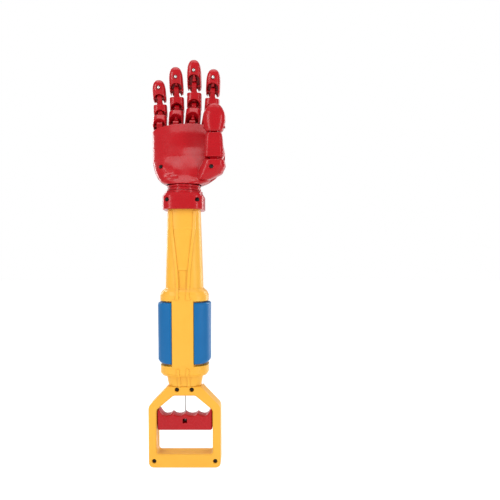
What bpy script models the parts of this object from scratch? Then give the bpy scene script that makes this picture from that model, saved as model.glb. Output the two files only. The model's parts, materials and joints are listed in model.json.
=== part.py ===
"""Toy robot hand on a trigger-pulled arm: a hand-held grabber, as separate parts.

Metres, +Z up the arm, palm facing -Y, thumb on +X. The origin is the middle of the
flat bar at the bottom of the handle. Parts of the hand hang from empties on their
joint axes; the fingers are a chain of three hinged phalanges each.
"""

import math

import bmesh
import bpy
from mathutils import Vector

# ---- driving dimensions -------------------------------------------------------------
GAP = 0.0003                      # clearance between parts that touch
SEAM = GAP / 2                    # each half stands this far off the parting plane
WALL = 0.0022                     # moulded shells

HANDLE_HALF_WIDTH = 0.0388
HANDLE_FRONT_Y = -0.0108
HANDLE_BACK_Y = 0.0108
HANDLE_SPLIT_Y = 0.0030           # parting plane of the two handle halves
HANDLE_SIDE_TOP = 0.0665          # where the upright sides turn into the sloping arms
HANDLE_TOP = 0.0886
HANDLE_TOP_HALF = 0.0180
WINDOW_HALF = 0.0302              # the hand opening
WINDOW_BOTTOM = 0.0148
WINDOW_SIDE_TOP = 0.0630
WINDOW_TOP = 0.0785
WINDOW_TOP_HALF = 0.0117
GROOVE_DEPTH = 0.0036             # the trigger's tabs run in these
GROOVE_HALF = 0.0022
GROOVE_BOTTOM = 0.0200
GROOVE_TOP = 0.0590

TRIGGER_HALF = 0.0296
TRIGGER_BOTTOM = 0.0403
TRIGGER_VALLEY = 0.0559
TRIGGER_CUSP = 0.0587
TRIGGER_HORN = 0.0625
TRIGGER_HALF_DEPTH = 0.0080
FINGER_SCALLOPS = 4

TAPER_TOP = 0.1003                # lower taper between handle and grips
LOWER_RING_TOP = 0.1120
GRIP_BOTTOM = 0.1141
GRIP_TOP = 0.1792
SHOULDER_TOP = 0.1943
COLLAR_BOTTOM = 0.2769
COLLAR_TOP = 0.2940
COLLAR_LIP_TOP = 0.2966
RING_HALF = 0.0257
CORE_HALF_X = 0.0200
CORE_HALF_Y = 0.0188
STRIP_HALF = 0.0113               # raised strip between the two grips
STRIP_FACE_Y = 0.0226
GRIP_HALF_X = 0.0281
GRIP_HALF_Y = 0.0226
FOREARM_LOW = (0.0200, 0.0180)    # half width, half depth above the shoulder
FOREARM_HIGH = (0.0172, 0.0158)   # and where it enters the collar
FOREARM_TOP = 0.2840
COLLAR_HALF = 0.0220

NECK_R = 0.0173
FLANGE_R = 0.0193
NECK_BORE_R = 0.0118
FLANGE_Z = (0.2856, 0.2886)
NECK_TOP = 0.3026
SPIGOT_R = 0.0138
SPIGOT_TOP = 0.3050

WRIST_Z = 0.2940                  # where the hand's own axis crosses the arm's axis
HAND_TILT = math.radians(22)      # the hand leans back from the arm
PALM_CENTRE_X = 0.0050            # middle of the knuckle arc
KNUCKLE_ARC = 0.0040              # drop of that arc at 40 mm from its middle

# height, left edge, right edge, centre Y, depth in front, depth behind
PALM_SECTIONS = (
    (0.3033, -0.0192, 0.0192, 0.0000, 0.0180, 0.0180),
    (0.3062, -0.0245, 0.0260, 0.0022, 0.0180, 0.0174),
    (0.3115, -0.0292, 0.0328, 0.0062, 0.0172, 0.0165),
    (0.3200, -0.0332, 0.0392, 0.0104, 0.0158, 0.0160),
    (0.3310, -0.0358, 0.0428, 0.0149, 0.0136, 0.0155),
    (0.3450, -0.0366, 0.0430, 0.0206, 0.0128, 0.0140),
    (0.3590, -0.0376, 0.0385, 0.0263, 0.0120, 0.0128),
    (0.3695, -0.0385, 0.0355, 0.0305, 0.0108, 0.0120),
)
FULL_LEAN_SECTION = 5             # from here up the sections are square to the hand
KNUCKLE_BAR_SECTIONS = 2          # the bar fills the palm's last two sections
THENAR_SECTIONS = (               # height, centre X, centre Y, half width, half depth
    (0.3085, 0.0215, -0.0062, 0.0070, 0.0070),
    (0.3150, 0.0285, -0.0042, 0.0125, 0.0105),
    (0.3230, 0.0318, -0.0045, 0.0130, 0.0112),
    (0.3292, 0.0325, -0.0060, 0.0108, 0.0088),
)
PALM_SCREWS = ((-0.0245, -0.0018, 0.3230), (0.0300, -0.0150, 0.3215))

PIVOT_TO_END = 0.0055             # a phalanx reaches this far below its hinge pin
PHALANX_GAP = 0.0030              # between one phalanx and the next
KNUCKLE_CLEAR = 0.0065            # a knuckle's pad side stays this near its pin, to turn
KNUCKLE_TURN = 38                 # at this bend, degrees
TONGUE_HALF = 0.0031
TONGUE_R = 0.0044
PIN_R = 0.0012
PIN_HOLE_R = 0.00135
SCREW_HEAD_R = 0.0020
SCREW_SHANK_R = 0.0010

# knuckle X, distance up the palm, sideways lean, width, depth, three lengths
FINGERS = {
    "index": (0.0245, 0.0878, 4.5, 0.0164, 0.0158, (0.0250, 0.0215, 0.0260)),
    "middle": (0.0060, 0.0887, 0.5, 0.0168, 0.0160, (0.0305, 0.0235, 0.0290)),
    "ring": (-0.0125, 0.0880, -1.5, 0.0164, 0.0158, (0.0272, 0.0212, 0.0250)),
    "little": (-0.0305, 0.0861, -3.0, 0.0154, 0.0150, (0.0218, 0.0177, 0.0190)),
}
FINGER_REST = (-15, 35, 18)       # bend of each hinge as moulded, degrees
PHALANX_NAMES = ("proximal", "middle", "distal")
THUMB_PIVOT = (0.0325, -0.0219, 0.0381)   # in the hand's own frame
THUMB_REST = (-14, -5)
THUMB_LENGTHS = (0.0270, 0.0250)
THUMB_WIDTHS = (0.0210, 0.0240)
THUMB_DEPTH = 0.0165

LABEL_HALF = 0.0084
LABEL_Z = (0.1205, 0.1735)

CABLE_R = 0.0006
YOKE_Z = (0.2300, 0.2420)
SPRING_Z = (0.1240, 0.2290)

RED = (0.62, 0.012, 0.022)
YELLOW = (0.90, 0.54, 0.06)
BLUE = (0.002, 0.19, 0.50)
STEEL = (0.62, 0.62, 0.60)


# ---- materials and small helpers ----------------------------------------------------
def clear_scene():
    for obj in list(bpy.data.objects):
        bpy.data.objects.remove(obj, do_unlink=True)


def make_material(name, colour, roughness, metallic=0.0):
    material = bpy.data.materials.new(name)
    material.use_nodes = True
    shader = material.node_tree.nodes["Principled BSDF"]
    shader.inputs["Base Color"].default_value = (*colour, 1.0)
    shader.inputs["Roughness"].default_value = roughness
    shader.inputs["Metallic"].default_value = metallic
    return material


def red_plastic(name):
    return make_material(name, RED, 0.25)


def yellow_plastic(name):
    return make_material(name, YELLOW, 0.35)


def blue_plastic(name):
    return make_material(name, BLUE, 0.45)


def steel(name):
    return make_material(name, STEEL, 0.35, 1.0)


def empty(name, location, rotation=(0.0, 0.0, 0.0), parent=None):
    obj = bpy.data.objects.new(name, None)
    bpy.context.scene.collection.objects.link(obj)
    obj.empty_display_size = 0.01
    obj.parent = parent
    obj.location = location
    obj.rotation_euler = rotation
    return obj


def add_object(name, bm, material=None, parent=None, smooth=40):
    """Turn a bmesh into a named object, faces pointing out."""
    bmesh.ops.recalc_face_normals(bm, faces=bm.faces)
    mesh = bpy.data.meshes.new(name)
    bm.to_mesh(mesh)
    bm.free()
    mesh.shade_smooth()
    mesh.set_sharp_from_angle(angle=math.radians(smooth))
    obj = bpy.data.objects.new(name, mesh)
    bpy.context.scene.collection.objects.link(obj)
    obj.parent = parent
    if material:
        mesh.materials.append(material(name))
    return obj


def add_helper(name, bm, parent=None):
    """A cutter or a shape to be joined on: it is not a part itself."""
    obj = add_object(name, bm, None, parent)
    obj.hide_render = True
    obj.display_type = "WIRE"
    return obj


def boolean(obj, helper, operation="DIFFERENCE"):
    modifier = obj.modifiers.new(f"{operation.lower()}_{helper.name}", "BOOLEAN")
    modifier.operation = operation
    modifier.object = helper
    modifier.solver = "EXACT"


def oval(half_x, half_y, power, start, end, count):
    """Points of a superellipse between two angles, both included."""
    points = []
    for i in range(count):
        t = start + (end - start) * i / (count - 1)
        c, s = math.cos(t), math.sin(t)
        x = half_x * math.copysign(abs(c) ** (2 / power), c)
        y = half_y * math.copysign(abs(s) ** (2 / power), s)
        points.append((x, y))
    return points


def closed_oval(half_x, half_y, power, count):
    step = 2 * math.pi / count
    return oval(half_x, half_y, power, step / 2, 2 * math.pi - step / 2, count)


def rings_bmesh(rings):
    """Solid through closed rings of points, capped at both ends."""
    bm = bmesh.new()
    rows = [[bm.verts.new(p) for p in ring] for ring in rings]
    count = len(rows[0])
    for low, high in zip(rows, rows[1:]):
        for i in range(count):
            j = (i + 1) % count
            bm.faces.new((low[i], low[j], high[j], high[i]))
    bm.faces.new(reversed(rows[0]))
    bm.faces.new(rows[-1])
    return bm


def shell_bmesh(outer, inner):
    """Solid between two open sheets given as rows of points."""
    bm = bmesh.new()
    out = [[bm.verts.new(p) for p in row] for row in outer]
    ins = [[bm.verts.new(p) for p in row] for row in inner]
    last = len(out[0]) - 1
    for k in range(len(out) - 1):
        for i in range(last):
            bm.faces.new((out[k][i], out[k][i + 1], out[k + 1][i + 1], out[k + 1][i]))
            bm.faces.new((ins[k][i + 1], ins[k][i], ins[k + 1][i], ins[k + 1][i + 1]))
        bm.faces.new((out[k][0], out[k + 1][0], ins[k + 1][0], ins[k][0]))
        bm.faces.new((out[k][last], ins[k][last], ins[k + 1][last], out[k + 1][last]))
    for k in (0, len(out) - 1):
        for i in range(last):
            bm.faces.new((out[k][i], ins[k][i], ins[k][i + 1], out[k][i + 1]))
    return bm


def box_bmesh(low, high):
    bm = bmesh.new()
    bmesh.ops.create_cube(bm, size=1.0)
    size = Vector(high) - Vector(low)
    centre = (Vector(high) + Vector(low)) / 2
    bmesh.ops.scale(bm, vec=size, verts=bm.verts)
    bmesh.ops.translate(bm, vec=centre, verts=bm.verts)
    return bm


def prism_bmesh(outline, y_front, y_back):
    """An outline in X and Z, extruded along Y."""
    return rings_bmesh([[(x, y, z) for x, z in outline] for y in (y_front, y_back)])


def turned_bmesh(profile, axis="Z", count=16):
    """Solid of revolution through (distance along the axis, radius) points."""
    rings = []
    for along, radius in profile:
        circle = closed_oval(radius, radius, 2, count)
        if axis == "Z":
            rings.append([(a, b, along) for a, b in circle])
        elif axis == "Y":
            rings.append([(a, along, b) for a, b in circle])
        else:
            rings.append([(along, a, b) for a, b in circle])
    return rings_bmesh(rings)


def moved(bm, vec):
    bmesh.ops.translate(bm, vec=Vector(vec), verts=bm.verts)
    return bm


def corner(x, z, radius, start, count=4):
    """A rounded corner: centre (x, z), a quarter turn from the start angle."""
    steps = [math.radians(start + 90 * i / count) for i in range(count + 1)]
    return [(x + radius * math.cos(a), z + radius * math.sin(a)) for a in steps]


# ---- fasteners ----------------------------------------------------------------------
def screw_bmesh(length):
    """Pan head screw along Y, its head towards -Y and the head's face at Y = 0."""
    profile = ((0.0, SCREW_HEAD_R * 0.7), (0.0004, SCREW_HEAD_R), (0.0014, SCREW_HEAD_R),
               (0.0014, SCREW_SHANK_R), (length, SCREW_SHANK_R))
    return turned_bmesh(profile, "Y", 12)


def screw_hole_bmesh(length, mouth=0.004):
    """The stepped hole for that screw, open to the front by mouth."""
    profile = ((-mouth, SCREW_HEAD_R + GAP), (0.0014 + GAP, SCREW_HEAD_R + GAP),
               (0.0014 + GAP, SCREW_SHANK_R + GAP), (length + GAP, SCREW_SHANK_R + GAP))
    return turned_bmesh(profile, "Y", 12)


def add_screws(prefix, places, length, targets, parent=None, mouth=0.004):
    """One screw for each place, and its hole in each target."""
    for number, place in enumerate(places, 1):
        name = f"{prefix}_{number}" if len(places) > 1 else prefix
        add_object(name, moved(screw_bmesh(length), place), steel, parent)
        hole = add_helper(f"cut_{name}",
                          moved(screw_hole_bmesh(length, mouth), place), parent)
        for target in targets:
            boolean(target, hole)


# ---- handle and trigger -------------------------------------------------------------
def handle_outline():
    r = 0.0060
    w = HANDLE_HALF_WIDTH
    right = corner(w - r, r, r, -90)
    right += [(w, HANDLE_SIDE_TOP - 0.002), (w - 0.0015, HANDLE_SIDE_TOP + 0.002),
              (HANDLE_TOP_HALF, HANDLE_TOP)]
    return right + [(-x, z) for x, z in reversed(right)]


def window_outline():
    r = 0.0030
    w = WINDOW_HALF
    right = corner(w - r, WINDOW_BOTTOM + r, r, -90, 3)
    right += [(w, WINDOW_SIDE_TOP), (WINDOW_TOP_HALF, WINDOW_TOP)]
    return right + [(-x, z) for x, z in reversed(right)]


def make_handle():
    front = add_object("handle_front",
                       prism_bmesh(handle_outline(), HANDLE_FRONT_Y, HANDLE_SPLIT_Y - SEAM),
                       yellow_plastic)
    back = add_object("handle_back",
                      prism_bmesh(handle_outline(), HANDLE_SPLIT_Y + SEAM, HANDLE_BACK_Y),
                      yellow_plastic)
    window = add_helper("cut_window", prism_bmesh(window_outline(), -0.02, 0.02))
    groove = add_helper("cut_groove", box_bmesh(
        (-WINDOW_HALF - GROOVE_DEPTH, -GROOVE_HALF, GROOVE_BOTTOM),
        (WINDOW_HALF + GROOVE_DEPTH, GROOVE_HALF, GROOVE_TOP)))
    cable_hole = add_helper("cut_cable_hole", turned_bmesh(
        ((0.070, 0.0016), (0.092, 0.0016)), "Z", 10))
    for half in (front, back):
        boolean(half, window)
        boolean(half, groove)
    boolean(front, cable_hole)
    # the arm's back shell comes down over the top bar
    seat = add_helper("cut_arm_seat", box_bmesh(
        (-HANDLE_TOP_HALF - GAP, HANDLE_SPLIT_Y, WINDOW_TOP - 0.004),
        (HANDLE_TOP_HALF + GAP, 0.03, 0.1)))
    boolean(back, seat)
    places = [(side * 0.0079, HANDLE_FRONT_Y + 0.0012, 0.0851) for side in (-1, 1)]
    places += [(side * 0.0329, HANDLE_FRONT_Y + 0.0012, 0.0072) for side in (-1, 1)]
    add_screws("handle_screw", places, 0.0100, (front, back))


def trigger_outline():
    """Scalloped on top for four fingers, with a horn at each end."""
    w = TRIGGER_HALF
    pitch = 2 * (w - 0.0022) / FINGER_SCALLOPS
    top = []
    steps = 6
    for scallop in range(FINGER_SCALLOPS):
        left = TRIGGER_HORN if scallop == 0 else TRIGGER_CUSP
        right = TRIGGER_HORN if scallop == FINGER_SCALLOPS - 1 else TRIGGER_CUSP
        for i in range(1, steps):
            f = i / steps
            rim = left if f < 0.5 else right
            dip = abs(2 * f - 1) ** 2.2
            x = -w + 0.0022 + (scallop + f) * pitch
            top.append((x, TRIGGER_VALLEY + (rim - TRIGGER_VALLEY) * dip))
        if scallop < FINGER_SCALLOPS - 1:
            top.append((-w + 0.0022 + (scallop + 1) * pitch, TRIGGER_CUSP))
    left_end = [(-w, TRIGGER_BOTTOM + 0.002), (-w, TRIGGER_HORN - 0.0008),
                (-w + 0.0008, TRIGGER_HORN), (-w + 0.0020, TRIGGER_HORN)]
    right_end = [(-x, z) for x, z in reversed(left_end)]
    bottom = [(w - 0.002, TRIGGER_BOTTOM), (-w + 0.002, TRIGGER_BOTTOM)]
    outline = left_end + top + right_end + bottom
    return list(reversed(outline))


def make_trigger(slide):
    d = TRIGGER_HALF_DEPTH
    trigger = add_object("trigger", prism_bmesh(trigger_outline(), -d, d), red_plastic, slide)
    tabs = add_helper("join_trigger_tabs", box_bmesh(
        (-TRIGGER_HALF - 0.0036, -GROOVE_HALF + GAP, 0.0435),
        (TRIGGER_HALF + 0.0036, GROOVE_HALF - GAP, 0.0535)), slide)
    boolean(trigger, tabs, "UNION")
    bore = add_helper("cut_trigger_bore", turned_bmesh(
        ((0.0480, 0.0024), (0.0532, 0.0024), (0.0532, CABLE_R + GAP), (0.062, CABLE_R + GAP)),
        "Z", 10), slide)
    slot = add_helper("cut_trigger_slot", box_bmesh((-0.0024, -0.012, 0.0480),
                                                    (0.0024, 0.0, 0.0532)), slide)
    boolean(trigger, bore)
    boolean(trigger, slot)
    return trigger


def make_cable(slide):
    """Pull cable: a ball end in the trigger, up through the arm to the yoke."""
    profile = ((0.0486, 0.0010), (0.0492, 0.0019), (0.0522, 0.0019), (0.0528, 0.0010),
               (0.0528, CABLE_R), (YOKE_Z[0] + 0.006, CABLE_R), (YOKE_Z[0] + 0.006, 0.0016),
               (YOKE_Z[0] + 0.009, 0.0016))
    return add_object("pull_cable", turned_bmesh(profile, "Z", 8), steel, slide)


def make_yoke(slide):
    """Slider in the arm that gathers the five finger cords onto the pull cable."""
    low, high = YOKE_Z
    profile = ((low, 0.0070), (low + 0.001, 0.0085), (high - 0.001, 0.0085), (high, 0.0070))
    yoke = add_object("cord_yoke", turned_bmesh(profile, "Z", 16), yellow_plastic, slide)
    bore = turned_bmesh(((low - 0.002, CABLE_R + GAP), (low + 0.006 - GAP, CABLE_R + GAP),
                         (low + 0.006 - GAP, 0.0019), (high + 0.002, 0.0019)), "Z", 8)
    boolean(yoke, add_helper("cut_yoke_bore", bore, slide))
    return yoke


def make_spring(parent=None):
    """Compression spring under the yoke, around the cable."""
    turns, sides, per_turn = 11, 5, 10
    radius, wire = 0.0062, 0.00060
    low, high = SPRING_Z
    rings = []
    total = turns * per_turn
    for i in range(total + 1):
        angle = 2 * math.pi * i / per_turn
        centre = Vector((radius * math.cos(angle), radius * math.sin(angle),
                         low + (high - low) * i / total))
        outward = Vector((math.cos(angle), math.sin(angle), 0))
        ring = []
        for k in range(sides):
            t = 2 * math.pi * k / sides
            ring.append(centre + outward * wire * math.cos(t) + Vector((0, 0, wire * math.sin(t))))
        rings.append(ring)
    return add_object("return_spring", rings_bmesh(rings), steel, parent)


# ---- forearm ------------------------------------------------------------------------
def arm_sections():
    """(height, outer half X, outer half Y, inner half X, inner half Y) up the arm."""
    core = (CORE_HALF_X - WALL, CORE_HALF_Y - WALL)
    ring = (RING_HALF, 0.0226)
    low, high = FOREARM_LOW, FOREARM_HIGH
    return (
        (HANDLE_TOP + GAP, 0.0176, HANDLE_BACK_Y, 0.0154, HANDLE_BACK_Y - WALL),
        (TAPER_TOP, 0.0196, 0.0140, 0.0174, 0.0118),
        (TAPER_TOP + 0.0008, 0.0238, 0.0200, 0.0174, 0.0130),
        (TAPER_TOP + 0.0035, *ring, *core),
        (LOWER_RING_TOP, *ring, *core),
        (LOWER_RING_TOP + 0.0004, CORE_HALF_X, CORE_HALF_Y, *core),
        (GRIP_TOP + 0.0012, CORE_HALF_X, CORE_HALF_Y, *core),
        (GRIP_TOP + 0.0016, *ring, *core),
        (0.1868, *ring, *core),
        (0.1905, 0.0240, 0.0214, 0.0178, 0.0160),
        (SHOULDER_TOP, low[0], low[1], low[0] - WALL, low[1] - WALL),
        (FOREARM_TOP, high[0], high[1], high[0] - WALL, high[1] - WALL),
    )


def arm_half(name, side):
    """side -1 is the front shell and +1 the back shell."""
    outer, inner = [], []
    for z, ax, ay, bx, by in arm_sections():
        for rows, half_x, half_y in ((outer, ax, ay), (inner, bx, by)):
            arc = oval(half_x, half_y, 2.8, 0.0, math.pi, 17)
            rows.append([(x, side * (y + SEAM), z) for x, y in arc])
    return add_object(name, shell_bmesh(outer, inner), yellow_plastic)


def make_forearm():
    front = arm_half("forearm_front", -1)
    back = arm_half("forearm_back", 1)
    for half, side in ((front, -1), (back, 1)):
        y_in, y_out = side * (CORE_HALF_Y - WALL + 0.0004), side * STRIP_FACE_Y
        strip = add_helper(f"join_strip_{half.name}", box_bmesh(
            (-STRIP_HALF, min(y_in, y_out), LOWER_RING_TOP - 0.002),
            (STRIP_HALF, max(y_in, y_out), GRIP_TOP + 0.003)))
        boolean(half, strip, "UNION")
    apron = add_helper("join_apron", prism_bmesh(
        ((-0.0165, WINDOW_TOP), (0.0165, WINDOW_TOP), (0.0173, HANDLE_TOP + 0.0012),
         (-0.0173, HANDLE_TOP + 0.0012)), HANDLE_SPLIT_Y + SEAM, HANDLE_BACK_Y - 0.0001))
    boolean(back, apron, "UNION")
    for number in (1, 2):
        side = (-1, 1)[number - 1]
        pilot = add_helper(f"cut_arm_pilot_{number}", moved(
            turned_bmesh(((0.0, 0.0013), (0.0085, 0.0013)), "Y", 12), (side * 0.0079, 0, 0.0851)))
        boolean(back, pilot)
    label = box_bmesh((-LABEL_HALF, STRIP_FACE_Y + 0.0002, LABEL_Z[0]),
                      (LABEL_HALF, STRIP_FACE_Y + 0.0005, LABEL_Z[1]))
    add_object("forearm_label", label, yellow_plastic)


def make_grip(name, side):
    """Side grip: a C-shaped cover from the front strip round to the back strip."""
    clear = STRIP_HALF + GAP
    inner_half = (CORE_HALF_X + GAP, CORE_HALF_Y + GAP)
    power_out, power_in = 3.2, 2.8

    def edge_angle(half_x, power):
        return math.acos((clear / half_x) ** (power / 2))

    outer, inner = [], []
    for z, trim in ((GRIP_BOTTOM, 0.0016), (GRIP_BOTTOM + 0.0016, 0.0),
                    (GRIP_TOP - 0.0012, 0.0), (GRIP_TOP, 0.0010)):
        ax, ay = GRIP_HALF_X - trim, GRIP_HALF_Y - trim
        t = edge_angle(ax, power_out)
        outer.append([(side * x, y, z) for x, y in oval(ax, ay, power_out, -t, t, 21)])
        t = edge_angle(inner_half[0], power_in)
        inner.append([(side * x, y, z) for x, y in oval(*inner_half, power_in, -t, t, 21)])
    return add_object(name, shell_bmesh(outer, inner), blue_plastic)


# ---- wrist --------------------------------------------------------------------------
def collar_half(name, side):
    z0, z1, z2 = COLLAR_BOTTOM, COLLAR_TOP, COLLAR_LIP_TOP
    arm = (FOREARM_HIGH[0] + 0.0004 + GAP, FOREARM_HIGH[1] + 0.0004 + GAP)
    flange = (FLANGE_R + GAP, FLANGE_R + GAP)
    neck = (NECK_R + GAP, NECK_R + GAP)
    full = (COLLAR_HALF, COLLAR_HALF)
    lip = (0.0196, 0.0196)
    rows = (
        (z0, full, arm, 2.8), (FLANGE_Z[0] - 0.0008, full, arm, 2.8),
        (FLANGE_Z[0] - GAP, full, flange, 2), (FLANGE_Z[1] + GAP, full, flange, 2),
        (FLANGE_Z[1] + GAP + 0.0004, full, neck, 2), (z1 - 0.0032, full, neck, 2),
        (z1, (0.0200, 0.0205), neck, 2), (z1 + 0.0003, lip, neck, 2), (z2, lip, neck, 2),
    )
    outer, inner = [], []
    for z, out_half, in_half, power_in in rows:
        power_out = 2 if out_half == lip else 3.6
        out_arc = oval(*out_half, power_out, 0.0, math.pi, 17)
        in_arc = oval(*in_half, power_in, 0.0, math.pi, 17)
        outer.append([(x, side * (y + SEAM), z) for x, y in out_arc])
        inner.append([(x, side * (y + SEAM), z) for x, y in in_arc])
    return add_object(name, shell_bmesh(outer, inner), red_plastic)


def make_collar():
    front = collar_half("wrist_collar_front", -1)
    collar_half("wrist_collar_back", 1)
    places = [(side * 0.0157, -0.0186, 0.2866) for side in (-1, 1)]
    add_screws("collar_screw", places, 0.0050, (front,))


def make_neck(swivel):
    """Ringed neck: its flange turns inside the collar."""
    base = swivel.location.z
    low, high = FLANGE_Z
    outer = ((low, NECK_BORE_R), (low, FLANGE_R), (high, FLANGE_R), (high, NECK_R),
             (0.2972, NECK_R), (0.2978, 0.0180), (0.2992, 0.0180), (0.2998, 0.0168),
             (0.3006, 0.0168), (0.3012, 0.0178), (NECK_TOP, 0.0178), (NECK_TOP, SPIGOT_R),
             (SPIGOT_TOP, SPIGOT_R), (SPIGOT_TOP, NECK_BORE_R))
    bm = bmesh.new()
    count = 24
    rows = []
    for z, r in outer:
        rows.append([bm.verts.new((x, y, z - base)) for x, y in closed_oval(r, r, 2, count)])
    rows.append(rows[0])
    for low_row, high_row in zip(rows, rows[1:]):
        for i in range(count):
            j = (i + 1) % count
            bm.faces.new((low_row[i], low_row[j], high_row[j], high_row[i]))
    return add_object("wrist_neck", bm, red_plastic, swivel)


# ---- palm ---------------------------------------------------------------------------
def palm_lean(z):
    """How far a palm section is turned square to the leaning hand, from 0 to 1."""
    low, high = PALM_SECTIONS[0][0], PALM_SECTIONS[FULL_LEAN_SECTION][0]
    f = min(1.0, max(0.0, (z - low) / (high - low)))
    return f * f * (3 - 2 * f)


def palm_point(section, x, y):
    """x, y measured from the section's centre line; the section leans and arches."""
    z, _, _, centre_y, _, _ = section
    lean = palm_lean(z)
    arch = KNUCKLE_ARC * lean ** 3 * ((x - PALM_CENTRE_X) / 0.040) ** 2
    return (x, centre_y + y, z - y * lean * math.tan(HAND_TILT) - arch)


def palm_arc(section, side, inset, offset, count=19):
    """Half outline of a section: side -1 in front, +1 behind."""
    _, left, right, _, front, back = section
    middle, half = (left + right) / 2, (right - left) / 2 - inset
    depth = (front if side < 0 else back) - inset
    arc = oval(half, depth, 2.7, 0.0, math.pi, count)
    return [palm_point(section, middle + x, side * (y + offset)) for x, y in arc]


def palm_half(name, side, swivel):
    base = Vector((0, 0, swivel.location.z))
    outer, inner = [], []
    for section in PALM_SECTIONS:
        outer.append([Vector(p) - base for p in palm_arc(section, side, 0.0, SEAM)])
        inner.append([Vector(p) - base for p in palm_arc(section, side, WALL, SEAM)])
    return add_object(name, shell_bmesh(outer, inner), red_plastic, swivel)


def tongue_bmesh(length, half=TONGUE_HALF):
    """Hinge tongue around the pin at z = 0, reaching down to z = -length."""
    rim = [(TONGUE_R * math.cos(a), TONGUE_R * math.sin(a))
           for a in (math.pi * i / 8 for i in range(9))]
    waist = TONGUE_R * 0.66
    outline = rim + [(-waist, -TONGUE_R), (-waist, -length), (waist, -length), (waist, -TONGUE_R)]
    return rings_bmesh([[(x, y, z) for y, z in outline] for x in (-half, half)])


def pin_bmesh(half_length, radius, count=12):
    return turned_bmesh(((-half_length, radius), (half_length, radius)), "X", count)


def make_thenar(swivel):
    """The mound at the thumb's root."""
    base = swivel.location.z
    rings = []
    for z, cx, cy, half_x, half_y in THENAR_SECTIONS:
        oval_points = closed_oval(half_x, half_y, 3.0, 16)
        rings.append([(cx + x, cy + y, z - base) for x, y in oval_points])
    return add_helper("join_thenar", rings_bmesh(rings), swivel)


def make_palm(swivel, tilt, thumb_base):
    front = palm_half("palm_front", -1, swivel)
    palm_half("palm_back", 1, swivel)
    boolean(front, make_thenar(swivel), "UNION")
    lug = add_helper("join_thumb_lug", tongue_bmesh(0.0120, 0.0038), thumb_base)
    boolean(front, lug, "UNION")
    hole = add_helper("cut_thumb_lug", pin_bmesh(0.02, PIN_HOLE_R), thumb_base)
    boolean(front, hole)
    make_knuckle_bar(swivel, tilt)
    base = swivel.location.z
    places = [(x, y, z - base) for x, y, z in PALM_SCREWS]
    add_screws("palm_screw", places, 0.0070, (front,), swivel, 0.012)


def make_knuckle_bar(swivel, tilt):
    """Closes the palm's open end and carries the four finger tongues."""
    base = Vector((0, 0, swivel.location.z))
    rings = []
    for section in PALM_SECTIONS[-KNUCKLE_BAR_SECTIONS:]:
        back = palm_arc(section, 1, WALL + GAP, 0.0)
        front = palm_arc(section, -1, WALL + GAP, 0.0)
        rings.append([Vector(p) - base for p in back + list(reversed(front[1:-1]))])
    bar = add_object("knuckle_bar", rings_bmesh(rings), red_plastic, swivel)
    for finger, (x, up, lean, *_) in FINGERS.items():
        frame = empty(f"lug_{finger}", (x, 0, up), (0, math.radians(lean), 0), tilt)
        boolean(bar, add_helper(f"join_lug_{finger}", tongue_bmesh(0.0125), frame), "UNION")
        boolean(bar, add_helper(f"cut_lug_{finger}", pin_bmesh(0.006, PIN_HOLE_R), frame))
    return bar


# ---- fingers ------------------------------------------------------------------------
def phalanx_rings(width, depth, length, low_slope, high_slope, tip):
    """Body rings from below the pin to the next gap, or to a rounded fingertip."""
    low = -PIVOT_TO_END
    rings = []
    if tip:
        steps = ((0.0, 1.0, 1.0, 0.0), (0.55, 1.0, 0.98, 0.0), (0.76, 0.95, 0.86, 0.02),
                 (0.90, 0.82, 0.66, 0.05), (0.97, 0.60, 0.44, 0.07), (1.0, 0.34, 0.22, 0.08))
        for f, wide, deep, back in steps:
            z = low + (length - low) * f
            ring = closed_oval(width / 2 * wide, depth / 2 * deep, 4.0, 16)
            rings.append([(x, y + back * depth, z - y * low_slope * (1 - f) ** 2) for x, y in ring])
        return rings
    high = length - PIVOT_TO_END - PHALANX_GAP
    ring = closed_oval(width / 2, depth / 2, 4.0, 16)
    for f in (0.0, 0.5, 1.0):
        z = low + (high - low) * f
        slope = high_slope * f ** 2 - low_slope * (1 - f) ** 2
        rings.append([(x, y, z + y * slope) for x, y in ring])
    return rings


def hollow_bmesh(width, depth, reach):
    """The open recess on the pad side of a phalanx, round its hinge."""
    side = width / 2 - 0.0024
    front = -depth
    back = depth / 2 - 0.0020
    arch = [(side * math.cos(a), reach - side * 0.6 * (1 - math.sin(a)))
            for a in (math.pi * i / 6 for i in range(7))]
    outline = arch + [(-side, -0.016), (side, -0.016)]
    return prism_bmesh(outline, front, back)


def front_cut_bmesh(width, depth):
    """Slants off the pad side at the lower end, for the joint to close."""
    outline = ((-0.0020, -0.020), (-depth / 2 - 0.004, 0.0095), (-0.030, 0.0095), (-0.030, -0.020))
    return rings_bmesh([[(x, y, z) for y, z in outline] for x in (-width, width)])


def heel_cut_bmesh(width):
    """Rounds a knuckle off on the pad side, to turn over the palm's edge."""
    turn = math.radians(KNUCKLE_TURN)
    down = Vector((-math.sin(turn), -math.cos(turn)))
    along = Vector((-math.cos(turn), math.sin(turn)))
    near, far = down * KNUCKLE_CLEAR, down * 0.03
    outline = (near - along * 0.03, far - along * 0.03, far + along * 0.03, near + along * 0.03)
    return rings_bmesh([[(x, y, z) for y, z in outline] for x in (-width, width)])


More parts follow.
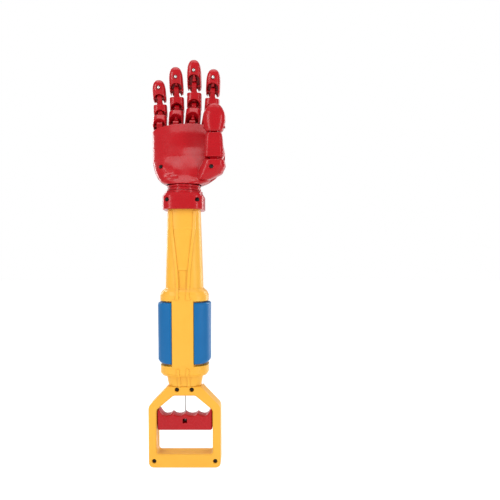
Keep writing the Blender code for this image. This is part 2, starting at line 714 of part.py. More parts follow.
def make_phalanx(name, frame, width, depth, length, bends, tip=False, tongue=TONGUE_HALF):
    """bends: rest angle of this hinge and of the next one."""
    low_slope, high_slope = (math.tan(math.radians(b) / 2) for b in bends)
    rings = phalanx_rings(width, depth, length, low_slope, high_slope, tip)
    body = add_object(name, rings_bmesh(rings), red_plastic, frame)
    reach = 0.0105 if tip else min(0.0090, length * 0.36)
    boolean(body, add_helper(f"cut_hollow_{name}", hollow_bmesh(width, depth, reach), frame))
    boolean(body, add_helper(f"cut_front_{name}", front_cut_bmesh(width, depth), frame))
    boolean(body, add_helper(f"cut_pin_{name}", pin_bmesh(width, PIN_HOLE_R), frame))
    add_object(f"pin_{name}", pin_bmesh(width / 2 - 0.0004, PIN_R), steel, frame)
    if not tip:
        reach_down = PIVOT_TO_END + PHALANX_GAP + 0.0030
        lug = moved(tongue_bmesh(reach_down, tongue), (0, 0, length))
        boolean(body, add_helper(f"join_tongue_{name}", lug, frame), "UNION")
        eye = moved(pin_bmesh(0.006, PIN_HOLE_R), (0, 0, length))
        boolean(body, add_helper(f"cut_eye_{name}", eye, frame))
    return body


def make_finger(finger, tilt):
    x, up, lean, width, depth, lengths = FINGERS[finger]
    frame = empty(f"{finger}_0_axis", (x, 0, up),
                  (math.radians(FINGER_REST[0]), math.radians(lean), 0), tilt)
    for number, length in enumerate(lengths):
        tip = number == len(lengths) - 1
        bends = (FINGER_REST[number], 0 if tip else FINGER_REST[number + 1])
        name = f"{finger}_{PHALANX_NAMES[number]}"
        body = make_phalanx(name, frame, width - 0.0003 * number, depth - 0.0006 * number,
                            length, bends, tip)
        if number == 0:
            boolean(body, add_helper(f"cut_heel_{name}", heel_cut_bmesh(width), frame))
        if tip:
            add_screws(f"tip_screw_{finger}", [(0, -depth / 2 + 0.0016, length * 0.58)],
                       0.0055, (body,), frame)
        else:
            frame = empty(f"{finger}_{number + 1}_axis", (0, 0, length),
                          (math.radians(FINGER_REST[number + 1]), 0, 0), frame)


def make_thumb(thumb_base):
    frame = empty("thumb_0_axis", (0, 0, 0), (math.radians(THUMB_REST[0]), 0, 0), thumb_base)
    bends = (THUMB_REST, (THUMB_REST[1], 0))
    names = ("thumb_proximal", "thumb_distal")
    make_phalanx(names[0], frame, THUMB_WIDTHS[0], THUMB_DEPTH, THUMB_LENGTHS[0], bends[0],
                 tongue=0.0034)
    frame = empty("thumb_1_axis", (0, 0, THUMB_LENGTHS[0]),
                  (math.radians(THUMB_REST[1]), 0, 0), frame)
    make_phalanx(names[1], frame, THUMB_WIDTHS[1], THUMB_DEPTH - 0.0005, THUMB_LENGTHS[1],
                 bends[1], tip=True)


# ---- finger cords -------------------------------------------------------------------
def tube_bmesh(points, radius, sides=5):
    rings = []
    for i, point in enumerate(points):
        before, after = points[max(i - 1, 0)], points[min(i + 1, len(points) - 1)]
        along = (after - before).normalized()
        across = along.cross(Vector((0, 1, 0))).normalized()
        up = across.cross(along).normalized()
        ring = []
        for k in range(sides):
            t = 2 * math.pi * k / sides
            ring.append(point + radius * (across * math.cos(t) + up * math.sin(t)))
        rings.append(ring)
    return rings_bmesh(rings)


def bezier(start, control_a, control_b, end, count):
    points = []
    for i in range(count + 1):
        t = i / count
        points.append((1 - t) ** 3 * start + 3 * (1 - t) ** 2 * t * control_a
                      + 3 * (1 - t) * t ** 2 * control_b + t ** 3 * end)
    return points


def make_cords():
    """Five cords from one crimp above the yoke up into the palm."""
    low = YOKE_Z[1] + GAP
    profile = ((low, 0.0030), (low + 0.006, 0.0030))
    crimp = add_object("finger_cords", turned_bmesh(profile, "Z", 10), steel)
    ends = [(x * 0.85, up - 0.026) for x, up, *_ in FINGERS.values()]
    direction = Vector((0, math.sin(HAND_TILT), math.cos(HAND_TILT)))
    starts = ((0.0018, 0.0), (0.0006, 0.0017), (-0.0006, -0.0017), (-0.0018, 0.0))
    for number, ((x, up), (sx, sy)) in enumerate(zip(ends, starts)):
        end = Vector((x, 0, WRIST_Z)) + direction * up
        start = Vector((sx, sy, low + 0.003))
        line = bezier(start, start + Vector((sx * 1.2, sy, 0.040)),
                      end - direction * 0.034 - Vector((x * 0.8, 0, 0)), end, 9)
        cord = add_helper(f"join_cord_{number}", tube_bmesh(line, 0.0005))
        boolean(crimp, cord, "UNION")
    return crimp


def build():
    clear_scene()
    make_handle()
    slide = empty("trigger_slide_axis", (0, 0, 0))
    make_trigger(slide)
    make_cable(slide)
    make_yoke(slide)
    make_spring()
    make_forearm()
    make_grip("grip_left", -1)
    make_grip("grip_right", 1)
    make_collar()
    swivel = empty("wrist_swivel_axis", (0, 0, FLANGE_Z[0]))
    tilt = empty("hand_tilt", (0, 0, WRIST_Z - FLANGE_Z[0]), (-HAND_TILT, 0, 0), swivel)
    make_neck(swivel)
    thumb_base = empty("thumb_base", THUMB_PIVOT, (0, 0, math.pi), tilt)
    make_palm(swivel, tilt, thumb_base)
    for finger in FINGERS:
        make_finger(finger, tilt)
    make_thumb(thumb_base)
    make_cords()
    bpy.context.view_layer.update()


build()
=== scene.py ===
"""Looks of the toy robot hand grabber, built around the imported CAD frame."""

import json
import math

import bmesh
import bpy
from mathutils import Matrix, Vector


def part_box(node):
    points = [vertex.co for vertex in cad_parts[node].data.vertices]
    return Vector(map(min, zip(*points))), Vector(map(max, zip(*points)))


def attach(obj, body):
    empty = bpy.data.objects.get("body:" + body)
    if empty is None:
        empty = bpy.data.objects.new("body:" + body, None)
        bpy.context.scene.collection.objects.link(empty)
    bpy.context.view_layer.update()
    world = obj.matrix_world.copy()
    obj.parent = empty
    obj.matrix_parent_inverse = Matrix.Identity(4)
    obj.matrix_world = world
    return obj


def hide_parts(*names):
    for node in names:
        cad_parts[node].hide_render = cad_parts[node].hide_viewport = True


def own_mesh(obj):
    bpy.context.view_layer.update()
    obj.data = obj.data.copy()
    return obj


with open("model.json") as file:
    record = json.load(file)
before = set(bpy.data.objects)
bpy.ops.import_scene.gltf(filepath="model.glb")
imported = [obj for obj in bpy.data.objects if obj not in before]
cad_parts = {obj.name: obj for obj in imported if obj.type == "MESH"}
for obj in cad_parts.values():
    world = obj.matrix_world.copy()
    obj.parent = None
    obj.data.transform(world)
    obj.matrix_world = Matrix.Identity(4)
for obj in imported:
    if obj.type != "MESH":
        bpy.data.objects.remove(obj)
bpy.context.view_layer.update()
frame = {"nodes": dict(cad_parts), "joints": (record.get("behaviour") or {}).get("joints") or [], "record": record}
NODES = frame["nodes"]
JOINTS = {joint["name"]: joint for joint in frame["joints"]}

FINGERS = ("index", "middle", "ring", "little")
PHALANGES = ("proximal", "middle", "distal")
FINGER_JOINTS = ("knuckle", "mid_joint", "tip_joint")
# how far up the last phalanx its metal dot sits
TIP_DOT_UP = {"index": 0.0151, "middle": 0.0168, "ring": 0.0145, "little": 0.0110}

WALL = 0.0022                     # moulded shells
SEAM = 0.00015                    # each half stands this far off its parting plane
SHELL_VOXEL = 0.00055             # grid that the palm's shells are remeshed on

# ---- colours, linear ----------------------------------------------------------------
RED = (0.42, 0.003, 0.008)
RED_DEEP = (0.33, 0.002, 0.005)
YELLOW = (0.80, 0.41, 0.045)
YELLOW_DEEP = (0.75, 0.36, 0.032)
BLUE = (0.0005, 0.120, 0.33)
BLUE_DEEP = (0.0004, 0.100, 0.29)


# ---- materials ----------------------------------------------------------------------
def new_material(name):
    material = bpy.data.materials.new(name)
    material.use_nodes = True
    return material, material.node_tree.nodes, material.node_tree.links


def coordinates(nodes, links, scale):
    coords = nodes.new("ShaderNodeTexCoord")
    noise = nodes.new("ShaderNodeTexNoise")
    noise.inputs["Scale"].default_value = scale
    links.new(coords.outputs["Object"], noise.inputs["Vector"])
    return noise


def remap(nodes, links, source, low, high):
    node = nodes.new("ShaderNodeMapRange")
    node.inputs["From Min"].default_value = 0.3
    node.inputs["From Max"].default_value = 0.7
    node.inputs["To Min"].default_value = low
    node.inputs["To Max"].default_value = high
    links.new(source, node.inputs["Value"])
    return node.outputs["Result"]


def mix_colours(nodes, links, factor, a, b):
    node = nodes.new("ShaderNodeMix")
    node.data_type = "RGBA"
    for socket, value in (("A", a), ("B", b)):
        target = next(s for s in node.inputs if s.name == socket and s.type == "RGBA")
        if isinstance(value, tuple):
            target.default_value = (*value, 1.0)
        else:
            links.new(value, target)
    links.new(factor, node.inputs["Factor"])
    return next(s for s in node.outputs if s.type == "RGBA")


def plastic(name, colour, deep, roughness, grain, coat=0.0, metallic=0.0):
    """Moulded plastic: faint cloudiness, uneven gloss and a fine skin."""
    material, nodes, links = new_material(name)
    shader = nodes["Principled BSDF"]
    clouds = coordinates(nodes, links, 70.0)
    clouds.inputs["Detail"].default_value = 3.0
    flow = coordinates(nodes, links, 18.0)
    flow.inputs["Detail"].default_value = 2.0
    amount = remap(nodes, links, clouds.outputs["Fac"], 0.0, 0.55)
    base = mix_colours(nodes, links, amount, colour, deep)
    pale = tuple(c + (1.0 - c) * 0.004 for c in colour)
    base = mix_colours(nodes, links, remap(nodes, links, flow.outputs["Fac"], 0.0, 0.6), base, pale)
    links.new(base, shader.inputs["Base Color"])
    spots = coordinates(nodes, links, 240.0)
    spots.inputs["Detail"].default_value = 4.0
    links.new(remap(nodes, links, spots.outputs["Fac"], roughness * 0.82, roughness * 1.2),
              shader.inputs["Roughness"])
    skin = coordinates(nodes, links, 2600.0)
    skin.inputs["Detail"].default_value = 2.0
    bump = nodes.new("ShaderNodeBump")
    bump.inputs["Strength"].default_value = grain
    bump.inputs["Distance"].default_value = 0.0001
    links.new(skin.outputs["Fac"], bump.inputs["Height"])
    links.new(bump.outputs["Normal"], shader.inputs["Normal"])
    shader.inputs["Metallic"].default_value = metallic
    shader.inputs["Coat Weight"].default_value = coat
    shader.inputs["Coat Roughness"].default_value = 0.12
    shader.inputs["Specular IOR Level"].default_value = 0.22
    return material


MATERIALS = {
    "red": plastic("red_gloss_plastic", RED, RED_DEEP, 0.26, 0.10, coat=0.08),
    "yellow": plastic("yellow_satin_plastic", YELLOW, YELLOW_DEEP, 0.34, 0.16),
    "blue": plastic("blue_satin_plastic", BLUE, BLUE_DEEP, 0.42, 0.30),
    "steel": plastic("plated_steel", (0.62, 0.61, 0.58), (0.45, 0.44, 0.42), 0.30, 0.2, metallic=1.0),
    "screw": plastic("blackened_steel", (0.045, 0.038, 0.034), (0.03, 0.026, 0.024), 0.42, 0.2, metallic=0.9),
    "cable": plastic("drawn_wire", (0.42, 0.42, 0.42), (0.30, 0.30, 0.30), 0.38, 0.2, metallic=0.8),
    "label": plastic("label_film", (0.95, 0.68, 0.12), (0.90, 0.62, 0.09), 0.30, 0.05),
    "ink": plastic("label_ink", (0.030, 0.018, 0.012), (0.02, 0.012, 0.008), 0.35, 0.05),
    "border": plastic("label_border", (0.30, 0.17, 0.02), (0.24, 0.13, 0.015), 0.35, 0.05),
    "teal": plastic("label_teal", (0.10, 0.48, 0.50), (0.07, 0.40, 0.43), 0.35, 0.05),
    "mark": plastic("label_red", (0.60, 0.06, 0.02), (0.50, 0.04, 0.015), 0.35, 0.05),
}
SLOT_MATERIALS = {
    "red_plastic": "red", "yellow_plastic": "yellow", "blue_plastic": "blue",
    "label": "label", "steel": "steel", "cable_steel": "cable",
}


def finish_cad_nodes():
    slots = {row["node"]: row["material_slot"] for row in frame["record"]["subparts"]}
    for name, obj in NODES.items():
        obj.data.materials.clear()
        look = "red" if name.startswith("pin_") else SLOT_MATERIALS[slots[name]]
        obj.data.materials.append(MATERIALS[look])


# ---- camera, light and floor --------------------------------------------------------
def add_camera():
    data = bpy.data.cameras.new("photo_camera")
    data.lens = 40.0
    data.sensor_width = 36.0
    data.shift_y = 0.08
    data.clip_start = 0.01
    camera = bpy.data.objects.new("photo_camera", data)
    camera.location = (0.0704, -0.599, 0.223)
    camera.rotation_euler = (math.radians(87.0), 0.0, 0.0)
    bpy.context.scene.collection.objects.link(camera)
    bpy.context.scene.camera = camera


def add_area(name, location, target, size, power):
    data = bpy.data.lights.new(name, "AREA")
    data.shape = "RECTANGLE"
    data.size, data.size_y = size
    data.energy = power
    light = bpy.data.objects.new(name, data)
    light.location = location
    aim = Vector(target) - Vector(location)
    light.rotation_euler = aim.to_track_quat("-Z", "Y").to_euler()
    bpy.context.scene.collection.objects.link(light)


def add_studio():
    world = bpy.data.worlds.new("studio")
    world.use_nodes = True
    nodes, links = world.node_tree.nodes, world.node_tree.links
    background = nodes["Background"]
    background.inputs["Color"].default_value = (0.97, 0.98, 1.0, 1.0)
    background.inputs["Strength"].default_value = 0.48
    backdrop = nodes.new("ShaderNodeBackground")
    backdrop.inputs["Color"].default_value = (1.0, 1.0, 1.0, 1.0)
    mix = nodes.new("ShaderNodeMixShader")
    path = nodes.new("ShaderNodeLightPath")
    links.new(path.outputs["Is Camera Ray"], mix.inputs["Fac"])
    links.new(background.outputs["Background"], mix.inputs[1])
    links.new(backdrop.outputs["Background"], mix.inputs[2])
    links.new(mix.outputs["Shader"], nodes["World Output"].inputs["Surface"])
    bpy.context.scene.world = world
    middle = (0.0, 0.0, 0.25)
    add_area("key_front_left", (-0.75, -0.95, 0.80), middle, (0.30, 1.10), 8.0)
    add_area("fill_front_right", (0.95, -0.85, 0.50), middle, (0.28, 1.10), 6.0)
    add_area("rim_back_left", (-0.8, 0.95, 0.75), middle, (0.30, 1.10), 7.0)
    add_area("rim_back_right", (0.85, 0.9, 0.60), middle, (0.30, 1.10), 7.0)
    add_area("top", (0.0, 0.0, 1.5), middle, (0.9, 0.9), 7.0)
    bm = bmesh.new()
    bmesh.ops.create_circle(bm, cap_ends=True, segments=96, radius=6.0)
    mesh = bpy.data.meshes.new("floor")
    bm.to_mesh(mesh)
    bm.free()
    floor = bpy.data.objects.new("floor", mesh)
    bpy.context.scene.collection.objects.link(floor)
    paper = plastic("pale_floor", (0.30, 0.30, 0.30), (0.28, 0.28, 0.28), 0.7, 0.02)
    shader = paper.node_tree.nodes["Principled BSDF"]
    shader.inputs["Emission Color"].default_value = (1.0, 1.0, 1.0, 1.0)
    shader.inputs["Emission Strength"].default_value = 0.92
    shader.inputs["Specular IOR Level"].default_value = 0.0
    mesh.materials.append(paper)
    scene = bpy.context.scene
    scene.view_settings.view_transform = "Standard"
    scene.view_settings.look = "None"


# ---- mesh helpers -------------------------------------------------------------------
def chaikin(points, rounds, cut=0.25):
    """Cuts the corners off a closed outline."""
    for _ in range(rounds):
        out = []
        for a, b in zip(points, points[1:] + points[:1]):
            out.append(tuple(p + (q - p) * cut for p, q in zip(a, b)))
            out.append(tuple(p + (q - p) * (1 - cut) for p, q in zip(a, b)))
        points = out
    return points


def rounded(points, radii, steps=6):
    """Rounds each corner of a closed outline."""
    out = []
    count = len(points)
    for i, radius in enumerate(radii):
        here = Vector(points[i])
        a = (Vector(points[i - 1]) - here).normalized()
        b = (Vector(points[(i + 1) % count]) - here).normalized()
        for k in range(steps + 1):
            t = k / steps
            start, end = here + a * radius, here + b * radius
            out.append(tuple(start * (1 - t) ** 2 + here * 2 * t * (1 - t) + end * t ** 2))
    return out


def mirrored(right):
    """A closed outline from its +X half, which starts and ends on the middle line."""
    return right + [(-x, y) for x, y in reversed(right[1:-1])]


def loft(rings):
    bm = bmesh.new()
    rows = [[bm.verts.new(p) for p in ring] for ring in rings]
    count = len(rows[0])
    for low, high in zip(rows, rows[1:]):
        for i in range(count):
            j = (i + 1) % count
            bm.faces.new((low[i], low[j], high[j], high[i]))
    bm.faces.new(reversed(rows[0]))
    bm.faces.new(rows[-1])
    return bm


def prism(outline, axis, low, high):
    """An outline extruded along an axis: (a, b) are the other two axes in order."""
    def place(point, along):
        a, b = point
        return {"X": (along, a, b), "Y": (a, along, b), "Z": (a, b, along)}[axis]
    return loft([[place(p, along) for p in outline] for along in (low, high)])


def circle(radius, count, centre=(0.0, 0.0)):
    return [(centre[0] + radius * math.cos(2 * math.pi * i / count),
             centre[1] + radius * math.sin(2 * math.pi * i / count)) for i in range(count)]


def turned(profile, axis="Z", count=48):
    """Solid of revolution through (distance along the axis, radius) points."""
    rings = []
    for along, radius in profile:
        ring = []
        for a, b in circle(radius, count):
            ring.append({"X": (along, a, b), "Y": (a, along, b), "Z": (a, b, along)}[axis])
        rings.append(ring)
    return loft(rings)


def box(low, high):
    bm = bmesh.new()
    bmesh.ops.create_cube(bm, size=1.0)
    bmesh.ops.scale(bm, vec=Vector(high) - Vector(low), verts=bm.verts)
    bmesh.ops.translate(bm, vec=(Vector(high) + Vector(low)) / 2, verts=bm.verts)
    return bm


def shifted(bm, vec):
    bmesh.ops.translate(bm, vec=Vector(vec), verts=bm.verts)
    return bm


def oval(half_x, half_y, power, start, end, count):
    """Points of a superellipse between two angles, both included."""
    points = []
    for i in range(count):
        t = start + (end - start) * i / (count - 1)
        c, s = math.cos(t), math.sin(t)
        points.append((half_x * math.copysign(abs(c) ** (2 / power), c),
                       half_y * math.copysign(abs(s) ** (2 / power), s)))
    return points


def sheets(outer, inner):
    """Solid between two open sheets given as rows of points."""
    bm = bmesh.new()
    out = [[bm.verts.new(p) for p in row] for row in outer]
    ins = [[bm.verts.new(p) for p in row] for row in inner]
    last = len(out[0]) - 1
    for k in range(len(out) - 1):
        for i in range(last):
            bm.faces.new((out[k][i], out[k][i + 1], out[k + 1][i + 1], out[k + 1][i]))
            bm.faces.new((ins[k][i + 1], ins[k][i], ins[k + 1][i], ins[k + 1][i + 1]))
        bm.faces.new((out[k][0], out[k + 1][0], ins[k + 1][0], ins[k][0]))
        bm.faces.new((out[k][last], ins[k][last], ins[k + 1][last], out[k + 1][last]))
    for k in (0, len(out) - 1):
        for i in range(last):
            bm.faces.new((out[k][i], ins[k][i], ins[k][i + 1], out[k][i + 1]))
    return bm


def between(rows, z):
    """A row of a table read at height z."""
    for low, high in zip(rows, rows[1:]):
        if z <= high[0]:
            break
    f = min(1.0, max(0.0, (z - low[0]) / (high[0] - low[0])))
    return tuple(a + (b - a) * f for a, b in zip(low, high))


def smoothstep(f):
    f = min(1.0, max(0.0, f))
    return f * f * (3 - 2 * f)


def inset_outline(outline, distance):
    """Moves a closed outline inward along its averaged normals."""
    turn = sum(a[0] * b[1] - b[0] * a[1] for a, b in zip(outline, outline[1:] + outline[:1]))
    sign = 1.0 if turn > 0 else -1.0
    out = []
    count = len(outline)
    for i, (x, z) in enumerate(outline):
        before, after = Vector(outline[i - 1]), Vector(outline[(i + 1) % count])
        here = Vector((x, z))
        a, b = (here - before).normalized(), (after - here).normalized()
        normal = Vector((-(a.y + b.y), a.x + b.x)) * sign
        if normal.length < 1e-9:
            normal = Vector((-a.y, a.x)) * sign
        normal.normalize()
        reach = distance / max(0.5, abs(normal.dot(Vector((-a.y, a.x)))))
        out.append((x + normal.x * reach, z + normal.y * reach))
    return out


def closed_ring(half_x, half_y, power, count):
    return oval(half_x, half_y, power, 0.0, 2 * math.pi, count)[:-1]


def front_centre(node):
    """Middle of a CAD node's front face."""
    low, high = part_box(node)
    return ((low.x + high.x) / 2, low.y, (low.z + high.z) / 2)


def screw_hole(mouth, length, flare=()):
    """Stepped hole along Y for a screw whose face is at Y = 0, open to the front by mouth."""
    head = flare or ((-mouth, 0.0023),)
    return turned((*head, (0.0017, 0.0023), (0.0017, 0.0013), (length, 0.0013)), "Y", 32)


def new_object(name, bm, sharp=35):
    bmesh.ops.recalc_face_normals(bm, faces=bm.faces)
    mesh = bpy.data.meshes.new(name)
    bm.to_mesh(mesh)
    bm.free()
    mesh.shade_smooth()
    mesh.set_sharp_from_angle(angle=math.radians(sharp))
    obj = bpy.data.objects.new(name, mesh)
    bpy.context.scene.collection.objects.link(obj)
    return obj


def combine(obj, bm, operation="DIFFERENCE"):
    """A Boolean with a helper, which settle() removes."""
    helper = new_object("helper", bm)
    modifier = obj.modifiers.new("boolean", "BOOLEAN")
    modifier.operation = operation
    modifier.object = helper
    modifier.solver = "EXACT"


def settle(obj):
    """Applies every modifier and removes the helpers."""
    helpers = [m.object for m in obj.modifiers if m.type == "BOOLEAN"]
    depsgraph = bpy.context.evaluated_depsgraph_get()
    mesh = bpy.data.meshes.new_from_object(obj.evaluated_get(depsgraph))
    old = obj.data
    obj.modifiers.clear()
    obj.data = mesh
    mesh.name = obj.name
    bpy.data.meshes.remove(old)
    for helper in helpers:
        bpy.data.objects.remove(helper)
    return obj


def soften(obj, voxel, rounds):
    """Remeshes a solid evenly and eases its edges, as a mould does."""
    modifier = obj.modifiers.new("remesh", "REMESH")
    modifier.mode = "VOXEL"
    modifier.voxel_size = voxel
    modifier.use_smooth_shade = True
    modifier = obj.modifiers.new("ease", "SMOOTH")
    modifier.factor = 0.5
    modifier.iterations = rounds
    return settle(obj)


def place_piece(obj, material, body, replaces=(), matrix=None):
    """Gives a finished piece its material, its body and the CAD nodes it stands for."""
    if matrix is not None:
        obj.data.transform(matrix)
    obj.data.materials.clear()
    obj.data.materials.append(MATERIALS[material])
    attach(obj, body)
    if replaces:
        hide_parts(*replaces)
    return obj


# ---- fingers ------------------------------------------------------------------------
PIVOT_TO_END = 0.0055
PHALANX_GAP = 0.0030
TONGUE_R = 0.0044
PIN_HOLE_R = 0.00135
REST_BEND = (-15, 35, 18)
# width and depth of the first phalanx, length of the last, reach of each hollow, drop of the first pad
FINGER_SHAPES = {
    "index": (0.0164, 0.0158, 0.0240, (0.0080, 0.0050, 0.0093), 0.0030),
    "middle": (0.0168, 0.0160, 0.0280, (0.0113, 0.0064, 0.0125), 0.0034),
    "ring": (0.0164, 0.0158, 0.0250, (0.0091, 0.0049, 0.0079), 0.0030),
    "little": (0.0154, 0.0150, 0.0190, (0.0036, 0.0022, 0.0040), 0.0012),
}


def frame_matrix(origin, x_axis, z_axis):
    y_axis = z_axis.cross(x_axis).normalized()
    z_axis = x_axis.cross(y_axis).normalized()
    matrix = Matrix((x_axis, y_axis, z_axis)).transposed().to_4x4()
    matrix.translation = origin
    return matrix


def finger_frames(joint_names, last_bend):
    """One frame per hinge: X along the pin, Z to the next pin, pad side -Y."""
    joints = [JOINTS[name] for name in joint_names]
    origins = [Vector(joint["pos_m"]) for joint in joints]
    x_axis = Vector(joints[0]["axis"]).normalized()
    frames, lengths = [], []
    for here, there in zip(origins, origins[1:]):
        lengths.append((there - here).length)
        frames.append(frame_matrix(here, x_axis, (there - here).normalized()))
    turn = Matrix.Rotation(math.radians(last_bend), 4, "X")
    last = frames[-1] @ turn
    last.translation = origins[-1]
    return frames + [last], lengths


def phalanx_section(half_w, half_d):
    """Flat middle of the pad, two slanting strips, flat sides and a facetted back."""
    right = [(0.0, -1.0), (0.38, -1.0), (0.78, -0.86), (1.0, -0.52), (1.0, 0.50),
             (0.74, 0.86), (0.34, 1.0), (0.0, 1.0)]
    return chaikin([(x * half_w, y * half_d) for x, y in mirrored(right)], 2, 0.16)


def phalanx_loft(width, depth, length, slopes, tip):
    low = -PIVOT_TO_END
    rings = []
    if tip:
        rows = ((0.0, 0.84, 0.90, 0.0), (0.05, 0.93, 0.96, 0.0), (0.14, 1.0, 1.0, 0.0),
                (0.35, 1.0, 1.0, 0.0), (0.58, 0.985, 0.97, 0.0), (0.72, 0.93, 0.89, 0.015),
                (0.82, 0.84, 0.78, 0.03), (0.90, 0.70, 0.62, 0.045), (0.955, 0.52, 0.44, 0.06),
                (0.99, 0.30, 0.24, 0.07), (1.0, 0.10, 0.08, 0.075))
        for f, wide, deep, back in rows:
            z = low + (length - low) * f
            ring = phalanx_section(width / 2 * wide, depth / 2 * deep)
            rings.append([(x, y + back * depth, z - y * slopes[0] * (1 - f) ** 2) for x, y in ring])
        return loft(rings)
    high = length - PIVOT_TO_END - PHALANX_GAP
    rows = ((low, 0.80, 0.88), (low + 0.0007, 0.88, 0.93), (low + 0.0018, 0.95, 0.97),
            (low + 0.0036, 1.0, 1.0), (high - 0.0022, 1.0, 1.0), (high - 0.0006, 0.99, 0.985),
            (high, 0.955, 0.94))
    for z, wide, deep in rows:
        f = (z - low) / (high - low)
        slope = slopes[1] * f ** 2 - slopes[0] * (1 - f) ** 2
        ring = phalanx_section(width / 2 * wide, depth / 2 * deep)
        rings.append([(x, y, z + y * slope) for x, y in ring])
    return loft(rings)


def hollow_cutter(width, depth, reach):
    """The arched recess on the pad side, round the hinge."""
    side = width / 2 - 0.0015
    arch = []
    for i in range(17):
        a = math.pi * i / 16
        arch.append((side * math.cos(a) * (0.86 + 0.14 * (1 - math.sin(a))),
                     reach - side * 0.75 * (1 - math.sin(a))))
    outline = arch + [(-side * 0.98, -0.016), (side * 0.98, -0.016)]
    return prism(outline, "Y", -depth, depth / 2 - 0.0020)


def leg_cutter(width, radius):
    """Leaves the pad side's legs round about the hinge."""
    arc = [(-radius * math.cos(a), -radius * math.sin(a))
           for a in (math.radians(-14 + 8 * i) for i in range(13))]
    outline = arc + [(0.0, -0.03), (-0.03, -0.03), (-0.03, arc[0][1])]
    return prism(outline, "X", -width, width)


def brow_cutter(width, depth, length, drop):
    """Slants the pad side's top edge down by drop, as the last joint's pads do."""
    top = length - PIVOT_TO_END - PHALANX_GAP
    outline = ((-depth, top - drop * 1.7), (-depth / 2, top - drop), (0.001, top + 0.0022),
               (0.001, top + 0.02), (-depth, top + 0.02))
    return prism(outline, "X", -width, width)


def heel_cutter(width):
    turn = math.radians(38)
    down = Vector((-math.sin(turn), -math.cos(turn)))
    along = Vector((-math.cos(turn), math.sin(turn)))
    near, far = down * 0.0065, down * 0.03
    outline = [near - along * 0.03, far - along * 0.03, far + along * 0.03, near + along * 0.03]
    return prism([tuple(p) for p in outline], "X", -width, width)


def tongue(length, half, base_half):
    """Rounded hinge tongue that flares where it leaves its phalanx."""
    rings = []
    for z, y_half, x_half in ((-length, 0.0034, base_half), (-length + 0.0012, 0.0031, base_half * 0.94),
                              (-TONGUE_R * 0.9, 0.0026, half), (-0.0024, 0.0034, half)):
        rings.append([(x_half, -y_half, z), (x_half, y_half, z), (-x_half, y_half, z), (-x_half, -y_half, z)])
    return loft(rings)


def eye(half):
    return turned(((-half, TONGUE_R - 0.0003), (-half + 0.0003, TONGUE_R), (half - 0.0003, TONGUE_R),
                   (half, TONGUE_R - 0.0003)), "X", 40)


def make_phalanx(name, matrix, width, depth, length, bends, reach, tip, knuckle, drop, body, replaces):
    slopes = [math.tan(math.radians(b) / 2) for b in bends]
    obj = new_object(name, phalanx_loft(width, depth, length, slopes, tip))
    combine(obj, hollow_cutter(width, depth, reach))
    combine(obj, leg_cutter(width, 0.0068 if knuckle else 0.0079))
    if knuckle:
        combine(obj, heel_cutter(width))
    if drop:
        combine(obj, brow_cutter(width, depth, length, drop))
    # the arch in the lower edge of the back, and the rib above the hinge
    combine(obj, prism(circle(0.0040, 32, (0.0, -PIVOT_TO_END - 0.0006)), "Y", 0.0, depth))
    if reach > 0.0062:
        top = reach - 0.0006
        rib = [[(h, -0.0030, z), (h, depth / 2 - 0.001, z), (-h, depth / 2 - 0.001, z), (-h, -0.0030, z)]
               for z, h in ((0.0052, 0.0020), (top, 0.0012))]
        combine(obj, loft(rib), "UNION")
    combine(obj, turned(((-width, PIN_HOLE_R), (width, PIN_HOLE_R)), "X", 24))
    if tip:
        z = TIP_DOT_UP[name.split("_")[0]]
        combine(obj, shifted(turned(((-0.004, 0.0022), (0.0034, 0.0022)), "Y", 32),
                             (0, -depth / 2, z)))
    if not tip:
        base = shifted(tongue(PIVOT_TO_END + PHALANX_GAP + 0.0014, 0.0024, 0.0040), (0, 0, length))
        combine(obj, base, "UNION")
        combine(obj, shifted(eye(0.0026), (0, 0, length)), "UNION")
    soften(obj, 0.00040, 3)
    return place_piece(obj, "red", body, replaces, matrix)


def make_fingers():
    for finger in FINGERS:
        width, depth, last_length, reaches, drop = FINGER_SHAPES[finger]
        frames, lengths = finger_frames([f"{finger}_{j}" for j in FINGER_JOINTS], REST_BEND[2])
        lengths.append(last_length)
        for k, phalanx in enumerate(PHALANGES):
            tip = k == 2
            bends = (REST_BEND[k], 0 if tip else REST_BEND[k + 1])
            name = f"{finger}_{phalanx}"
            make_phalanx(f"{name}_shell", frames[k], width - 0.0003 * k, depth - 0.0006 * k, lengths[k],
                         bends, reaches[k], tip, k == 0, drop if k == 0 else 0.0,
                         f"{name}_link", [name])


# ---- palm ---------------------------------------------------------------------------
HAND_LEAN = math.tan(math.radians(22))
# height, left edge, right edge, centre Y, depth in front, depth behind
PALM_SECTIONS = (
    (0.3033, -0.0192, 0.0192, 0.0000, 0.0180, 0.0180),
    (0.3062, -0.0245, 0.0260, 0.0022, 0.0180, 0.0174),
    (0.3115, -0.0292, 0.0328, 0.0062, 0.0172, 0.0165),
    (0.3200, -0.0332, 0.0392, 0.0104, 0.0158, 0.0160),
    (0.3310, -0.0358, 0.0428, 0.0149, 0.0136, 0.0155),
    (0.3450, -0.0366, 0.0430, 0.0206, 0.0128, 0.0140),
    (0.3590, -0.0376, 0.0385, 0.0263, 0.0120, 0.0128),
    (0.3695, -0.0385, 0.0355, 0.0305, 0.0108, 0.0120),
)
THENAR_SECTIONS = (               # height, centre X, centre Y, half width, half depth
    (0.3085, 0.0215, -0.0062, 0.0070, 0.0070),
    (0.3150, 0.0285, -0.0042, 0.0125, 0.0105),
    (0.3230, 0.0318, -0.0045, 0.0130, 0.0112),
    (0.3280, 0.0325, -0.0058, 0.0114, 0.0094),
    (0.3292, 0.0325, -0.0060, 0.0104, 0.0084),
)


def hill(x, z, centre_x, centre_z, wide, high):
    return math.exp(-((x - centre_x) / wide) ** 2 - ((z - centre_z) / high) ** 2)


